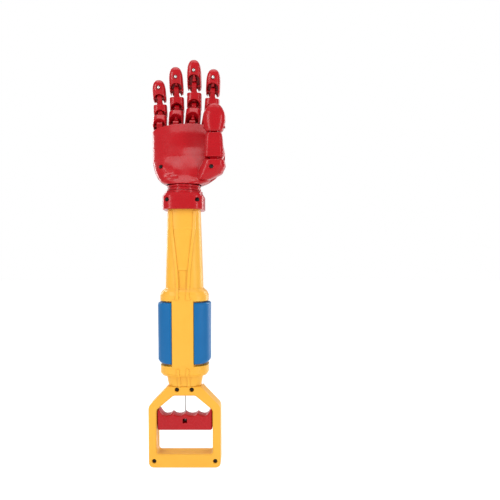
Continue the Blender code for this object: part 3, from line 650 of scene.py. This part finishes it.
def palm_dent(x, z):
    """How far the front is pressed in: the cup of the palm and the folds above the wrist."""
    dent = 0.0032 * hill(x, z, 0.0060, 0.3430, 0.0150, 0.0105)
    dent += 0.0010 * hill(x, z, -0.0040, 0.3300, 0.0060, 0.0090)
    dent -= 0.0016 * hill(x, z, -0.0240, 0.3220, 0.0085, 0.0075)
    dent -= 0.0014 * hill(x, z, -0.0085, 0.3185, 0.0060, 0.0060)
    dent -= 0.0012 * hill(x, z, 0.0125, 0.3185, 0.0060, 0.0060)
    fold = smoothstep((0.3135 - z) / 0.0022) * smoothstep((z - 0.3060) / 0.0030)
    for apex in (-0.0130, 0.0165):
        run = abs(x - apex) / 0.0085
        if run < 1.0:
            dent += 0.0020 * fold * (1.0 - run) ** 0.7
    return dent * smoothstep((0.3575 - z) / 0.0050)


def palm_sheet(side, inset, rim_left, rim_right, offset):
    rows = []
    count = 61
    low, high = PALM_SECTIONS[0][0], PALM_SECTIONS[-1][0]
    for k in range(41):
        z = low + (high - low) * (k / 40) ** 1.15
        _, left, right, centre_y, front, back = between(PALM_SECTIONS, z)
        grow = smoothstep((z - 0.3050) / 0.0060) * smoothstep((0.3690 - z) / 0.0050)
        left += rim_left * grow
        right -= rim_right * grow * smoothstep((0.3420 - z) / 0.0080)
        middle, half = (left + right) / 2, (right - left) / 2 - inset
        depth = (front if side < 0 else back) - inset
        lean = smoothstep((z - low) / (PALM_SECTIONS[5][0] - low))
        row = []
        for x, y in oval(half, depth, 2.7, 0.0, math.pi, count):
            x += middle
            if side < 0:
                y -= palm_dent(x, z) * smoothstep(y / (depth * 0.7))
            y = centre_y + side * (max(y, 0.0) + offset)
            arch = 0.0040 * lean ** 3 * ((x - 0.0050) / 0.040) ** 2
            row.append((x, y, z - (y - centre_y) * lean * HAND_LEAN - arch))
        rows.append(row)
    return rows


def make_palm():
    front = new_object("palm_front_shell", sheets(palm_sheet(-1, 0.0, 0.0007, 0.0016, SEAM),
                                                  palm_sheet(-1, WALL, 0.0007, 0.0016, SEAM)))
    rings = [[(cx + x, cy + y, z) for x, y in closed_ring(half_x, half_y, 3.0, 49)]
             for z, cx, cy, half_x, half_y in THENAR_SECTIONS]
    combine(front, loft(rings), "UNION")
    up_the_hand = Vector((0, 0.3746, 0.9272))
    lug = frame_matrix(Vector(JOINTS["thumb_root"]["pos_m"]), Vector((-1, 0, 0)), up_the_hand)
    wide, deep = 0.0038, 0.0030
    foot = ((wide, -deep), (wide, deep), (-wide, deep), (-wide, -deep))
    stem = loft([[(x, y, z) for x, y in foot] for z in (-0.0120, -0.0020)])
    for part in (eye(wide), stem):
        part.transform(lug)
        combine(front, part, "UNION")
    # two small gates in the top edge
    for x in (-0.0215, 0.0155):
        combine(front, box((x - 0.0013, -0.02, 0.3735), (x + 0.0013, 0.0250, 0.38)))
    for node in ("palm_screw_1", "palm_screw_2"):
        combine(front, shifted(screw_hole(0.012, 0.0090), front_centre(node)))
    soften(front, SHELL_VOXEL, 7)
    place_piece(front, "red", "hand", ["palm_front"])
    back = new_object("palm_back_shell", sheets(palm_sheet(1, 0.0, 0.0, 0.0, SEAM),
                                                palm_sheet(1, WALL, 0.0, 0.0, SEAM)))
    soften(back, SHELL_VOXEL, 3)
    place_piece(back, "red", "hand", ["palm_back"])


# ---- thumb --------------------------------------------------------------------------
def thumb_loft(rows, power):
    return loft([[(x, y + shift, z - (y * tilt)) for x, y in closed_ring(half_x, half_y, power, 57)]
                 for z, half_x, half_y, shift, tilt in rows])


def make_thumb():
    frames, lengths = finger_frames(["thumb_root", "thumb_joint"], 0.0)
    # a flat-faced wedge with bevelled edges, wider at the mound
    root = []
    for z, half_x, half_y, tilt in ((-0.0056, 0.0092, 0.0074, 0.20), (-0.0050, 0.0098, 0.0080, 0.20),
                                    (-0.0034, 0.0101, 0.0082, 0.16), (0.0060, 0.0098, 0.0082, 0.0),
                                    (0.0155, 0.0090, 0.0080, -0.05), (0.0181, 0.0086, 0.0077, -0.09),
                                    (0.0187, 0.0079, 0.0070, -0.09)):
        corner = [(half_x * a, half_y * b) for a, b in
                  ((1.0, -0.62), (1.0, 0.62), (0.72, 1.0), (-0.72, 1.0), (-1.0, 0.62), (-1.0, -0.62),
                   (-0.72, -1.0), (0.72, -1.0))]
        root.append([(x, y, z - y * tilt) for x, y in chaikin(corner, 2, 0.12)])
    obj = new_object("thumb_proximal_shell", loft(root))
    combine(obj, prism([(0.0045, -0.02), (0.0045, 0.0058), (-0.0045, 0.0058), (-0.0045, -0.02)], "Y",
                       -0.02, 0.0058))
    combine(obj, turned(((-0.02, PIN_HOLE_R), (0.02, PIN_HOLE_R)), "X", 24))
    combine(obj, shifted(tongue(0.0115, 0.0030, 0.0046), (0, 0, lengths[0])), "UNION")
    combine(obj, shifted(eye(0.0034), (0, 0, lengths[0])), "UNION")
    soften(obj, 0.00042, 3)
    place_piece(obj, "red", "thumb_proximal_link", ["thumb_proximal"], frames[0])
    egg = ((-0.0056, 0.0070, 0.0060, 0.0, 0.14), (-0.0049, 0.0084, 0.0069, 0.0, 0.14),
           (-0.0030, 0.0097, 0.0075, 0.0, 0.09), (0.0015, 0.0109, 0.0079, 0.0, 0.0),
           (0.0065, 0.0119, 0.0081, 0.0, 0.0), (0.0110, 0.0119, 0.0078, 0.0003, 0.0),
           (0.0155, 0.0110, 0.0069, 0.0007, 0.0), (0.0195, 0.0092, 0.0056, 0.0012, 0.0),
           (0.0225, 0.0068, 0.0041, 0.0017, 0.0), (0.0243, 0.0042, 0.0026, 0.0020, 0.0),
           (0.0250, 0.0016, 0.0010, 0.0022, 0.0))
    obj = new_object("thumb_distal_shell", thumb_loft(egg, 2.5))
    combine(obj, prism([(0.0042, -0.02), (0.0042, 0.0052), (-0.0042, 0.0052), (-0.0042, -0.02)], "Y",
                       -0.02, 0.0052))
    combine(obj, turned(((-0.02, PIN_HOLE_R), (0.02, PIN_HOLE_R)), "X", 24))
    soften(obj, 0.00045, 3)
    place_piece(obj, "red", "thumb_distal_link", ["thumb_distal"], frames[1])


# ---- forearm ------------------------------------------------------------------------
SHELL_POWER = 2.8
# height, outer half X, outer half Y
ARM_SECTIONS = (
    (0.0889, 0.0176, 0.0108), (0.1003, 0.0196, 0.0140), (0.1011, 0.0238, 0.0200),
    (0.1038, 0.0257, 0.0226), (0.1120, 0.0257, 0.0226), (0.1124, 0.0200, 0.0188),
    (0.1804, 0.0200, 0.0188), (0.1808, 0.0257, 0.0226), (0.1868, 0.0257, 0.0226),
    (0.1905, 0.0240, 0.0214), (0.1943, 0.0200, 0.0180), (0.2840, 0.0172, 0.0158),
)
# height, distance of each raised rib from the middle line
RIB_LINE = ((0.0889, 0.0050), (0.1810, 0.0050), (0.2140, 0.0068), (0.2590, 0.0119),
            (0.2840, 0.0127))
RIB_HALF = 0.0013
RIB_HEIGHT = 0.0010
# the panel between the ribs steps in going down: height of the step, depth below it
PANEL_STEPS = ((0.2561, 0.0004), (0.2131, 0.0013))
STRIP_HALF = 0.0113
STRIP_FACE_Y = 0.0226
STRIP_Z = (0.1100, 0.1822)


def surface_y(half_x, half_y, x):
    return half_y * (1.0 - min(1.0, abs(x) / half_x) ** SHELL_POWER) ** (1 / SHELL_POWER)


def panel_inset(z):
    if z < 0.1928 or z > PANEL_STEPS[0][0]:
        return 0.0
    return PANEL_STEPS[1][1] if z < PANEL_STEPS[1][0] else PANEL_STEPS[0][1]


def arm_row(z, side, half_x, half_y, ribs, inset, foot):
    line = between(RIB_LINE, z)[1]
    inner, outer = line - RIB_HALF, line + RIB_HALF * foot
    height = RIB_HEIGHT if ribs else 0.0
    half = [(0.0, -inset), (inner * 0.6, -inset), (inner - 0.0003, -inset), (inner, height),
            (outer, height), (outer + 0.0003, 0.0)]
    points = [(x, surface_y(half_x, half_y, x) + lift) for x, lift in half]
    start = math.acos(((outer + 0.0003) / half_x) ** (SHELL_POWER / 2))
    points += oval(half_x, half_y, SHELL_POWER, start, 0.0, 14)[1:]
    row = list(reversed(points)) + [(-x, y) for x, y in points[1:]]
    return [(x, side * (y + SEAM), z) for x, y in row]


def arm_heights():
    """(height, outer halves, ribs shown, panel inset, how far the rib's foot flares)"""
    rows = []
    for z, half_x, half_y in ARM_SECTIONS[:4]:
        rows.append((z, half_x, half_y, True, 0.0, 1.0))
    rows += [(0.1098, 0.0257, 0.0226, True, 0.0, 1.0), (0.1100, 0.0257, 0.0226, False, 0.0, 1.0)]
    rows += [(z, half_x, half_y, False, 0.0, 1.0) for z, half_x, half_y in ARM_SECTIONS[4:8]]
    flared = ((0.1824, None), (0.1826, 2.6), (0.1840, 1.7), (0.1868, 1.2))
    straight = (0.1905, 0.1926, 0.1930, 0.1943, 0.2000, 0.2129, 0.2133, 0.2250, 0.2400, 0.2559,
                0.2563, 0.2755)
    bare = ((0.2760, None), (0.2840, None))
    for z, foot in (*flared, *((z, 1.0) for z in straight), *bare):
        _, half_x, half_y = between(ARM_SECTIONS, z)
        rows.append((z, half_x, half_y, foot is not None, panel_inset(z), foot or 1.0))
    return rows


def make_forearm():
    for name, side in (("forearm_front", -1), ("forearm_back", 1)):
        outer, inner = [], []
        for z, half_x, half_y, ribs, inset, foot in arm_heights():
            outer.append(arm_row(z, side, half_x, half_y, ribs, inset, foot))
            core_x, core_y = min(half_x, 0.0200) - 0.0026, min(half_y, 0.0188) - 0.0026
            inner.append(arm_row(z, side, core_x, core_y, False, 0.0, 1.0))
        obj = new_object(f"{name}_shell", sheets(outer, inner), 14)
        faces = sorted((side * 0.0166, side * STRIP_FACE_Y))
        chamfer = 0.0006
        if side > 0:
            outline = [(-STRIP_HALF, faces[0]), (STRIP_HALF, faces[0]), (STRIP_HALF, faces[1] - chamfer),
                       (STRIP_HALF - chamfer, faces[1]), (chamfer - STRIP_HALF, faces[1]),
                       (-STRIP_HALF, faces[1] - chamfer)]
        else:
            outline = [(-STRIP_HALF, faces[1]), (-STRIP_HALF, faces[0] + chamfer),
                       (chamfer - STRIP_HALF, faces[0]), (STRIP_HALF - chamfer, faces[0]),
                       (STRIP_HALF, faces[0] + chamfer), (STRIP_HALF, faces[1])]
        combine(obj, prism(outline, "Z", *STRIP_Z), "UNION")
        if side > 0:
            apron = loft([[(x, y, z) for x, z in ((-0.0165 + c, 0.0785 + c), (0.0165 - c, 0.0785 + c),
                                                  (0.0173 - c, 0.0898), (-0.0173 + c, 0.0898))]
                          for y, c in ((0.00315, 0.0), (0.0098, 0.0), (0.0107, 0.0009))])
            combine(obj, apron, "UNION")
            for x in (-0.0079, 0.0079):
                combine(obj, shifted(turned(((0.0, 0.0013), (0.0085, 0.0013)), "Y", 20), (x, 0, 0.0851)))
        settle(obj)
        obj.data.set_sharp_from_angle(angle=math.radians(14))
        place_piece(obj, "yellow", "arm", [name])


def make_label():
    """Bordered film with a plain ring and bars: the real sticker's print is left out."""
    half, low, high = 0.0084, 0.1205, 0.1735

    def plate(name, material, inset, face, outline=None, replaces=()):
        if outline is None:
            x, bottom, top, cut = half - inset, low + inset, high - inset, 0.0012
            outline = rounded([(-x, bottom), (x, bottom), (x, top), (-x, top)], (cut,) * 4)
        obj = new_object(name, prism(outline, "Y", STRIP_FACE_Y + 0.00015, STRIP_FACE_Y + face))
        place_piece(obj, material, "arm", replaces)

    def bar(x0, z0, x1, z1):
        return chaikin([(x0, z0), (x1, z0), (x1, z1), (x0, z1)], 2, 0.22)

    plate("label_border", "border", 0.0, 0.00040, replaces=["forearm_label"])
    plate("label_panel", "label", 0.0008, 0.00048)
    plate("label_ring", "mark", 0, 0.00054, circle(0.0042, 48, (0.0, 0.1655)))
    plate("label_ring_middle", "label", 0, 0.00060, circle(0.0026, 40, (0.0, 0.1655)))
    plate("label_ring_dot", "mark", 0, 0.00066, circle(0.0013, 32, (0.0, 0.1655)))
    bars = ((0.0058, 0.1560), (0.0058, 0.1500), (0.0044, 0.1440), (0.0058, 0.1380))
    for number, (width, z) in enumerate(bars, 1):
        plate(f"label_bar_{number}", "ink", 0, 0.00054, bar(-width, z - 0.0014, width, z + 0.0014))
    plate("label_patch", "teal", 0, 0.00066, bar(-0.0078, 0.1225, -0.0012, 0.1262))


# height, how far the end is drawn in, and how far its outer corner is cut
GRIP_ENDS = (
    (0.1141, 0.0016, 0.0030), (0.1149, 0.0006, 0.0022), (0.1159, 0.0, 0.0016), (0.1180, 0.0, 0.0),
    (0.1776, 0.0, 0.0), (0.1786, 0.0005, 0.0), (0.1792, 0.0014, 0.0),
)


def make_grips():
    """Side covers: bevelled ends, a slanting band beside each strip and a chamfered foot."""
    clear = STRIP_HALF + 0.0003
    for name, side in (("grip_left", -1), ("grip_right", 1)):
        outer, inner = [], []
        for z, trim, corner in GRIP_ENDS:
            half_x, half_y = 0.0281 - trim - corner, 0.0226 - trim
            t = math.acos((0.0142 / half_x) ** (3.2 / 2))
            arc = [(clear, -half_y + 0.0016), (clear + 0.0003, -half_y + 0.0010)]
            arc += oval(half_x, half_y, 3.2, -t, t, 33)
            arc += [(clear + 0.0003, half_y - 0.0010), (clear, half_y - 0.0016)]
            outer.append([(side * x, y, z) for x, y in arc])
            t = math.acos((clear / 0.0203) ** (SHELL_POWER / 2))
            inner.append([(side * x, y, z) for x, y in oval(0.0203, 0.0191, SHELL_POWER, -t, t, len(arc))])
        obj = new_object(f"{name}_cover", sheets(outer, inner), 16)
        place_piece(obj, "blue", "arm", [name])


# ---- wrist --------------------------------------------------------------------------
def make_collar():
    full, lip, neck, flange = (0.0220, 0.0220), (0.0196, 0.0196), (0.0176, 0.0176), (0.0196, 0.0196)
    arm = (0.0179, 0.0165)
    rows = (
        (0.2769, (0.0214, 0.0214), arm, 3.6, 2.8), (0.2775, full, arm, 3.6, 2.8),
        (0.2848, full, arm, 3.6, 2.8),
        (0.2853, full, flange, 3.6, 2), (0.2889, full, flange, 3.6, 2), (0.2893, full, neck, 3.6, 2),
        (0.2906, full, neck, 3.6, 2), (0.2910, (0.0217, 0.0218), neck, 3.6, 2),
        (0.2938, (0.0201, 0.0206), neck, 3.6, 2), (0.2942, (0.0197, 0.0200), neck, 3.0, 2),
        (0.2944, lip, neck, 2, 2), (0.2962, lip, neck, 2, 2), (0.2966, (0.0192, 0.0192), neck, 2, 2),
    )
    for name, side in (("wrist_collar_front", -1), ("wrist_collar_back", 1)):
        outer, inner = [], []
        for z, out_half, in_half, power_out, power_in in rows:
            for sheet, half, power in ((outer, out_half, power_out), (inner, in_half, power_in)):
                arc = oval(*half, power, 0.0, math.pi, 65)
                sheet.append([(x, side * (y + SEAM), z) for x, y in arc])
        obj = new_object(f"{name}_shell", sheets(outer, inner), 16)
        if side < 0:
            for node in ("collar_screw_1", "collar_screw_2"):
                combine(obj, shifted(screw_hole(0.006, 0.0060), front_centre(node)))
            settle(obj)
            obj.data.set_sharp_from_angle(angle=math.radians(16))
        place_piece(obj, "red", "arm", [name])


def make_neck():
    profile = ((0.2856, 0.0118), (0.2856, 0.0191), (0.2858, 0.0193), (0.2884, 0.0193), (0.2886, 0.0191),
               (0.2886, 0.0173), (0.2972, 0.0173), (0.2975, 0.0179), (0.2980, 0.0181), (0.2990, 0.0181),
               (0.2995, 0.0179), (0.2998, 0.0169), (0.3001, 0.0167), (0.3004, 0.0167), (0.3007, 0.0169),
               (0.3010, 0.0177), (0.3014, 0.0179), (0.3023, 0.0179), (0.3026, 0.0176), (0.3026, 0.0138),
               (0.3050, 0.0138), (0.3050, 0.0118))
    bm = bmesh.new()
    rows = [[bm.verts.new((x, y, z)) for x, y in circle(radius, 96)] for z, radius in profile]
    for low, high in zip(rows, rows[1:] + rows[:1]):
        for i in range(96):
            bm.faces.new((low[i], low[(i + 1) % 96], high[(i + 1) % 96], high[i]))
    place_piece(new_object("wrist_neck_rings", bm, 20), "red", "hand", ["wrist_neck"])


# ---- handle and trigger -------------------------------------------------------------
HANDLE_FRONT_Y = -0.0108
HANDLE_BACK_Y = 0.0108
HANDLE_SPLIT_Y = 0.0030           # parting plane of the two halves
HANDLE_EASE = 0.0013
HANDLE_HOLE_FLARE = ((-0.006, 0.0027), (-0.0009, 0.0027), (-0.0006, 0.0024))


def slab(outline, low, high, soft_low, soft_high):
    """An outline in X and Z extruded along Y, with the low or the high edge eased."""
    ease = ((1.0, 0.0), (0.52, 0.12), (0.14, 0.45), (0.0, 1.0))
    rings = [(low, 0.0)]
    if soft_low:
        rings = [(low + soft_low * along, soft_low * inset) for inset, along in ease]
    if soft_high:
        rings += [(high - soft_high * along, soft_high * inset) for inset, along in reversed(ease)]
    else:
        rings.append((high, 0.0))
    return loft([[(x, y, z) for x, z in inset_outline(outline, inset)] for y, inset in rings])


def make_handle():
    right = [(0.0388, 0.0), (0.0388, 0.0668), (0.0180, 0.0886)]
    radii = (0.0062, 0.0035, 0.0012)
    outline = rounded(right + [(-x, z) for x, z in reversed(right)], (*radii, *reversed(radii)))
    right = [(0.0302, 0.0148), (0.0302, 0.0630), (0.0117, 0.0785)]
    radii = (0.0034, 0.0020, 0.0016)
    window = rounded(right + [(-x, z) for x, z in reversed(right)], (*radii, *reversed(radii)))
    halves = (("handle_front", HANDLE_FRONT_Y, HANDLE_SPLIT_Y - SEAM),
              ("handle_back", HANDLE_SPLIT_Y + SEAM, HANDLE_BACK_Y))
    for name, low, high in halves:
        front = name == "handle_front"
        ease = (HANDLE_EASE, 0.0) if front else (0.0, HANDLE_EASE)
        obj = new_object(f"{name}_shell", slab(outline, low, high, *ease), 50)
        # the hand opening widens at the outer face
        if front:
            depths = ((-0.0128, -0.0030), (HANDLE_FRONT_Y, -0.0010),
                      (HANDLE_FRONT_Y + 0.0010, 0.0), (0.02, 0.0))
        else:
            depths = ((-0.02, 0.0), (HANDLE_BACK_Y - 0.0010, 0.0),
                      (HANDLE_BACK_Y, -0.0010), (0.0128, -0.0030))
        cutter = loft([[(x, y, z) for x, z in inset_outline(window, f)] for y, f in depths])
        combine(obj, cutter)
        combine(obj, box((-0.0338, -0.0022, 0.0200), (0.0338, 0.0022, 0.0590)))
        if front:
            combine(obj, turned(((0.070, 0.0016), (0.092, 0.0016)), "Z", 24))
        else:
            combine(obj, box((-0.0183, 0.0030, 0.0745), (0.0183, 0.03, 0.1)))
        for number in range(1, 5):
            hole = screw_hole(0.006, 0.0106, HANDLE_HOLE_FLARE)
            combine(obj, shifted(hole, front_centre(f"handle_screw_{number}")))
        settle(obj)
        obj.data.set_sharp_from_angle(angle=math.radians(24))
        place_piece(obj, "yellow", "arm", [name])


def trigger_outline():
    """Four finger scallops between two horns."""
    half, steps = 0.0296, 14
    pitch = 2 * (half - 0.0022) / 4
    top = []
    for scallop in range(4):
        left = 0.0625 if scallop == 0 else 0.0587
        right = 0.0625 if scallop == 3 else 0.0587
        for i in range(1, steps):
            f = i / steps
            rim = left if f < 0.5 else right
            dip = abs(2 * f - 1) ** 2.2
            top.append((-half + 0.0022 + (scallop + f) * pitch, 0.0559 + (rim - 0.0559) * dip))
        if scallop < 3:
            top.append((-half + 0.0022 + (scallop + 1) * pitch, 0.0588))
    left_end = [(-half, 0.0423), (-half, 0.0610), (-half + 0.0004, 0.0621),
                (-half + 0.0011, 0.0625), (-half + 0.0018, 0.0624)]
    right_end = [(-x, z) for x, z in reversed(left_end)]
    bottom = [(half - 0.0006, 0.0409), (half - 0.0020, 0.0403),
              (-half + 0.0020, 0.0403), (-half + 0.0006, 0.0409)]
    return list(reversed(left_end + top + right_end + bottom))


def make_trigger():
    outline = trigger_outline()
    rings = [(-0.0080, 0.0009), (-0.0077, 0.0005), (-0.0072, 0.0002), (-0.0066, 0.0),
             (0.0066, 0.0), (0.0072, 0.0002), (0.0077, 0.0005), (0.0080, 0.0009)]
    body = loft([[(x, y, z) for x, z in inset_outline(outline, f)] for y, f in rings])
    obj = new_object("trigger_grip", body, 40)
    combine(obj, box((-0.0332, -0.0019, 0.0435), (0.0332, 0.0019, 0.0535)), "UNION")
    bore = ((0.0480, 0.0024), (0.0532, 0.0024), (0.0532, 0.0009), (0.0620, 0.0009))
    combine(obj, turned(bore, "Z", 24))
    combine(obj, box((-0.0024, -0.012, 0.0480), (0.0024, 0.0, 0.0532)))
    settle(obj)
    obj.data.set_sharp_from_angle(angle=math.radians(28))
    place_piece(obj, "red", "trigger_unit", ["trigger"])


def make_cable():
    """Stranded pull cable between its ball end and the crimp in the yoke."""
    lobes, count = 6, 36
    rings = []
    rows = [(0.0486, 0.0010, 0), (0.0489, 0.0016, 0), (0.0494, 0.0019, 0), (0.0520, 0.0019, 0),
            (0.0525, 0.0016, 0), (0.0528, 0.0010, 0), (0.0530, 0.00056, 1)]
    rows += [(0.0530 + 0.0008 * k, 0.00056, 1) for k in range(1, 229)]
    rows += [(0.2360, 0.00056, 1), (0.2360, 0.0016, 0), (0.2390, 0.0016, 0)]
    for z, radius, strands in rows:
        ring = []
        for x, y in circle(1.0, count):
            r = radius * (1.0 + 0.09 * strands * math.cos(lobes * math.atan2(y, x) + z * 2400.0))
            ring.append((x * r, y * r, z))
        rings.append(ring)
    obj = new_object("pull_cable_strands", loft(rings), 40)
    place_piece(obj, "cable", "trigger_unit", ["pull_cable"])


def make_cords():
    """The cords' crimp above the yoke, and the cords as far as the neck, where they go slack."""
    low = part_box("finger_cords")[0].z
    rings = [(low, 0.0026), (low + 0.0004, 0.0030), (low + 0.0018, 0.0030), (low + 0.0022, 0.0027),
             (low + 0.0038, 0.0027), (low + 0.0042, 0.0030), (low + 0.0056, 0.0030), (low + 0.0060, 0.0026)]
    obj = new_object("finger_cord_crimp", turned(rings, "Z", 40), 30)
    place_piece(obj, "cable", "trigger_unit", ["finger_cords"])
    for number, (x, y) in enumerate(((0.0018, 0.0), (0.0006, 0.0017), (-0.0006, -0.0017), (-0.0018, 0.0)), 1):
        rows = []
        for k in range(24):
            z = low + 0.003 + 0.0021 * k
            spread = 1.0 + 0.9 * k / 23
            rows.append([(x * spread + a, y * spread + b, z) for a, b in circle(0.0005, 12)])
        cord = new_object(f"finger_cord_{number}", loft(rows), 60)
        place_piece(cord, "cable", "trigger_unit")


def make_spring():
    turns, per_turn, sides, radius, wire = 11, 32, 10, 0.0062, 0.0006
    low, high = 0.1240, 0.2290
    rings = []
    for i in range(turns * per_turn + 1):
        angle = 2 * math.pi * i / per_turn
        outward = Vector((math.cos(angle), math.sin(angle), 0.0))
        centre = outward * radius + Vector((0.0, 0.0, low + (high - low) * i / (turns * per_turn)))
        rings.append([centre + outward * a + Vector((0.0, 0.0, b)) for a, b in circle(wire, sides)])
    obj = new_object("return_spring_coils", loft(rings), 60)
    place_piece(obj, "cable", "arm", ["return_spring"])
    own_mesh(obj)


# ---- screws -------------------------------------------------------------------------
def screw_shape(length):
    """Pan head with a cross recess, its head towards -Y and its face at Y = 0."""
    profile = ((0.0, 0.0009), (0.00004, 0.0012), (0.00020, 0.0016), (0.0005, 0.0019), (0.0008, 0.0020),
               (0.0014, 0.0020), (0.0014, 0.0010), (length, 0.0010))
    obj = new_object("screw", turned(profile, "Y", 40), 40)
    for turn in (0.0, math.pi / 2):
        half = 0.0003
        cutter = loft([[(-long, y, -half), (long, y, -half), (long, y, half), (-long, y, half)]
                       for y, long in ((-0.001, 0.0011), (0.0, 0.0011), (0.0009, 0.0004))])
        cutter.transform(Matrix.Rotation(turn, 4, "Y"))
        combine(obj, cutter)
    settle(obj)
    obj.data.set_sharp_from_angle(angle=math.radians(35))
    return obj


def make_screws():
    groups = (("handle_screw", 4, 0.0100, "arm"), ("collar_screw", 2, 0.0050, "arm"),
              ("palm_screw", 2, 0.0070, "hand"))
    for prefix, count, length, body in groups:
        for number in range(1, count + 1):
            node = f"{prefix}_{number}"
            place = Matrix.Translation(front_centre(node))
            obj = screw_shape(length)
            obj.name = obj.data.name = f"{node}_head"
            twist = Matrix.Rotation(math.radians(17 + 31 * number), 4, "Y")
            place_piece(obj, "screw", body, [node], place @ twist)
    for finger in FINGERS:
        frames, _ = finger_frames([f"{finger}_{j}" for j in FINGER_JOINTS], REST_BEND[2])
        _, depth, _, _, _ = FINGER_SHAPES[finger]
        node = f"tip_screw_{finger}"
        # the metal dot in the pad: a low dome on a shank
        profile = ((0.0, 0.0004), (0.0001, 0.0009), (0.00035, 0.0014), (0.0008, 0.0018), (0.0014, 0.0018),
                   (0.0014, 0.0010), (0.0055, 0.0010))
        obj = new_object(f"{node}_dot", turned(profile, "Y", 40), 40)
        length = TIP_DOT_UP[finger]
        place = frames[2] @ Matrix.Translation((0.0, -(depth - 0.0012) / 2 + 0.0006, length))
        place_piece(obj, "steel", f"{finger}_distal_link", [node], place)


# ---- build --------------------------------------------------------------------------
finish_cad_nodes()
add_camera()
add_studio()
make_fingers()
make_palm()
make_thumb()
make_forearm()
make_label()
make_grips()
make_collar()
make_neck()
make_handle()
make_trigger()
make_cable()
make_cords()
make_spring()
make_screws()
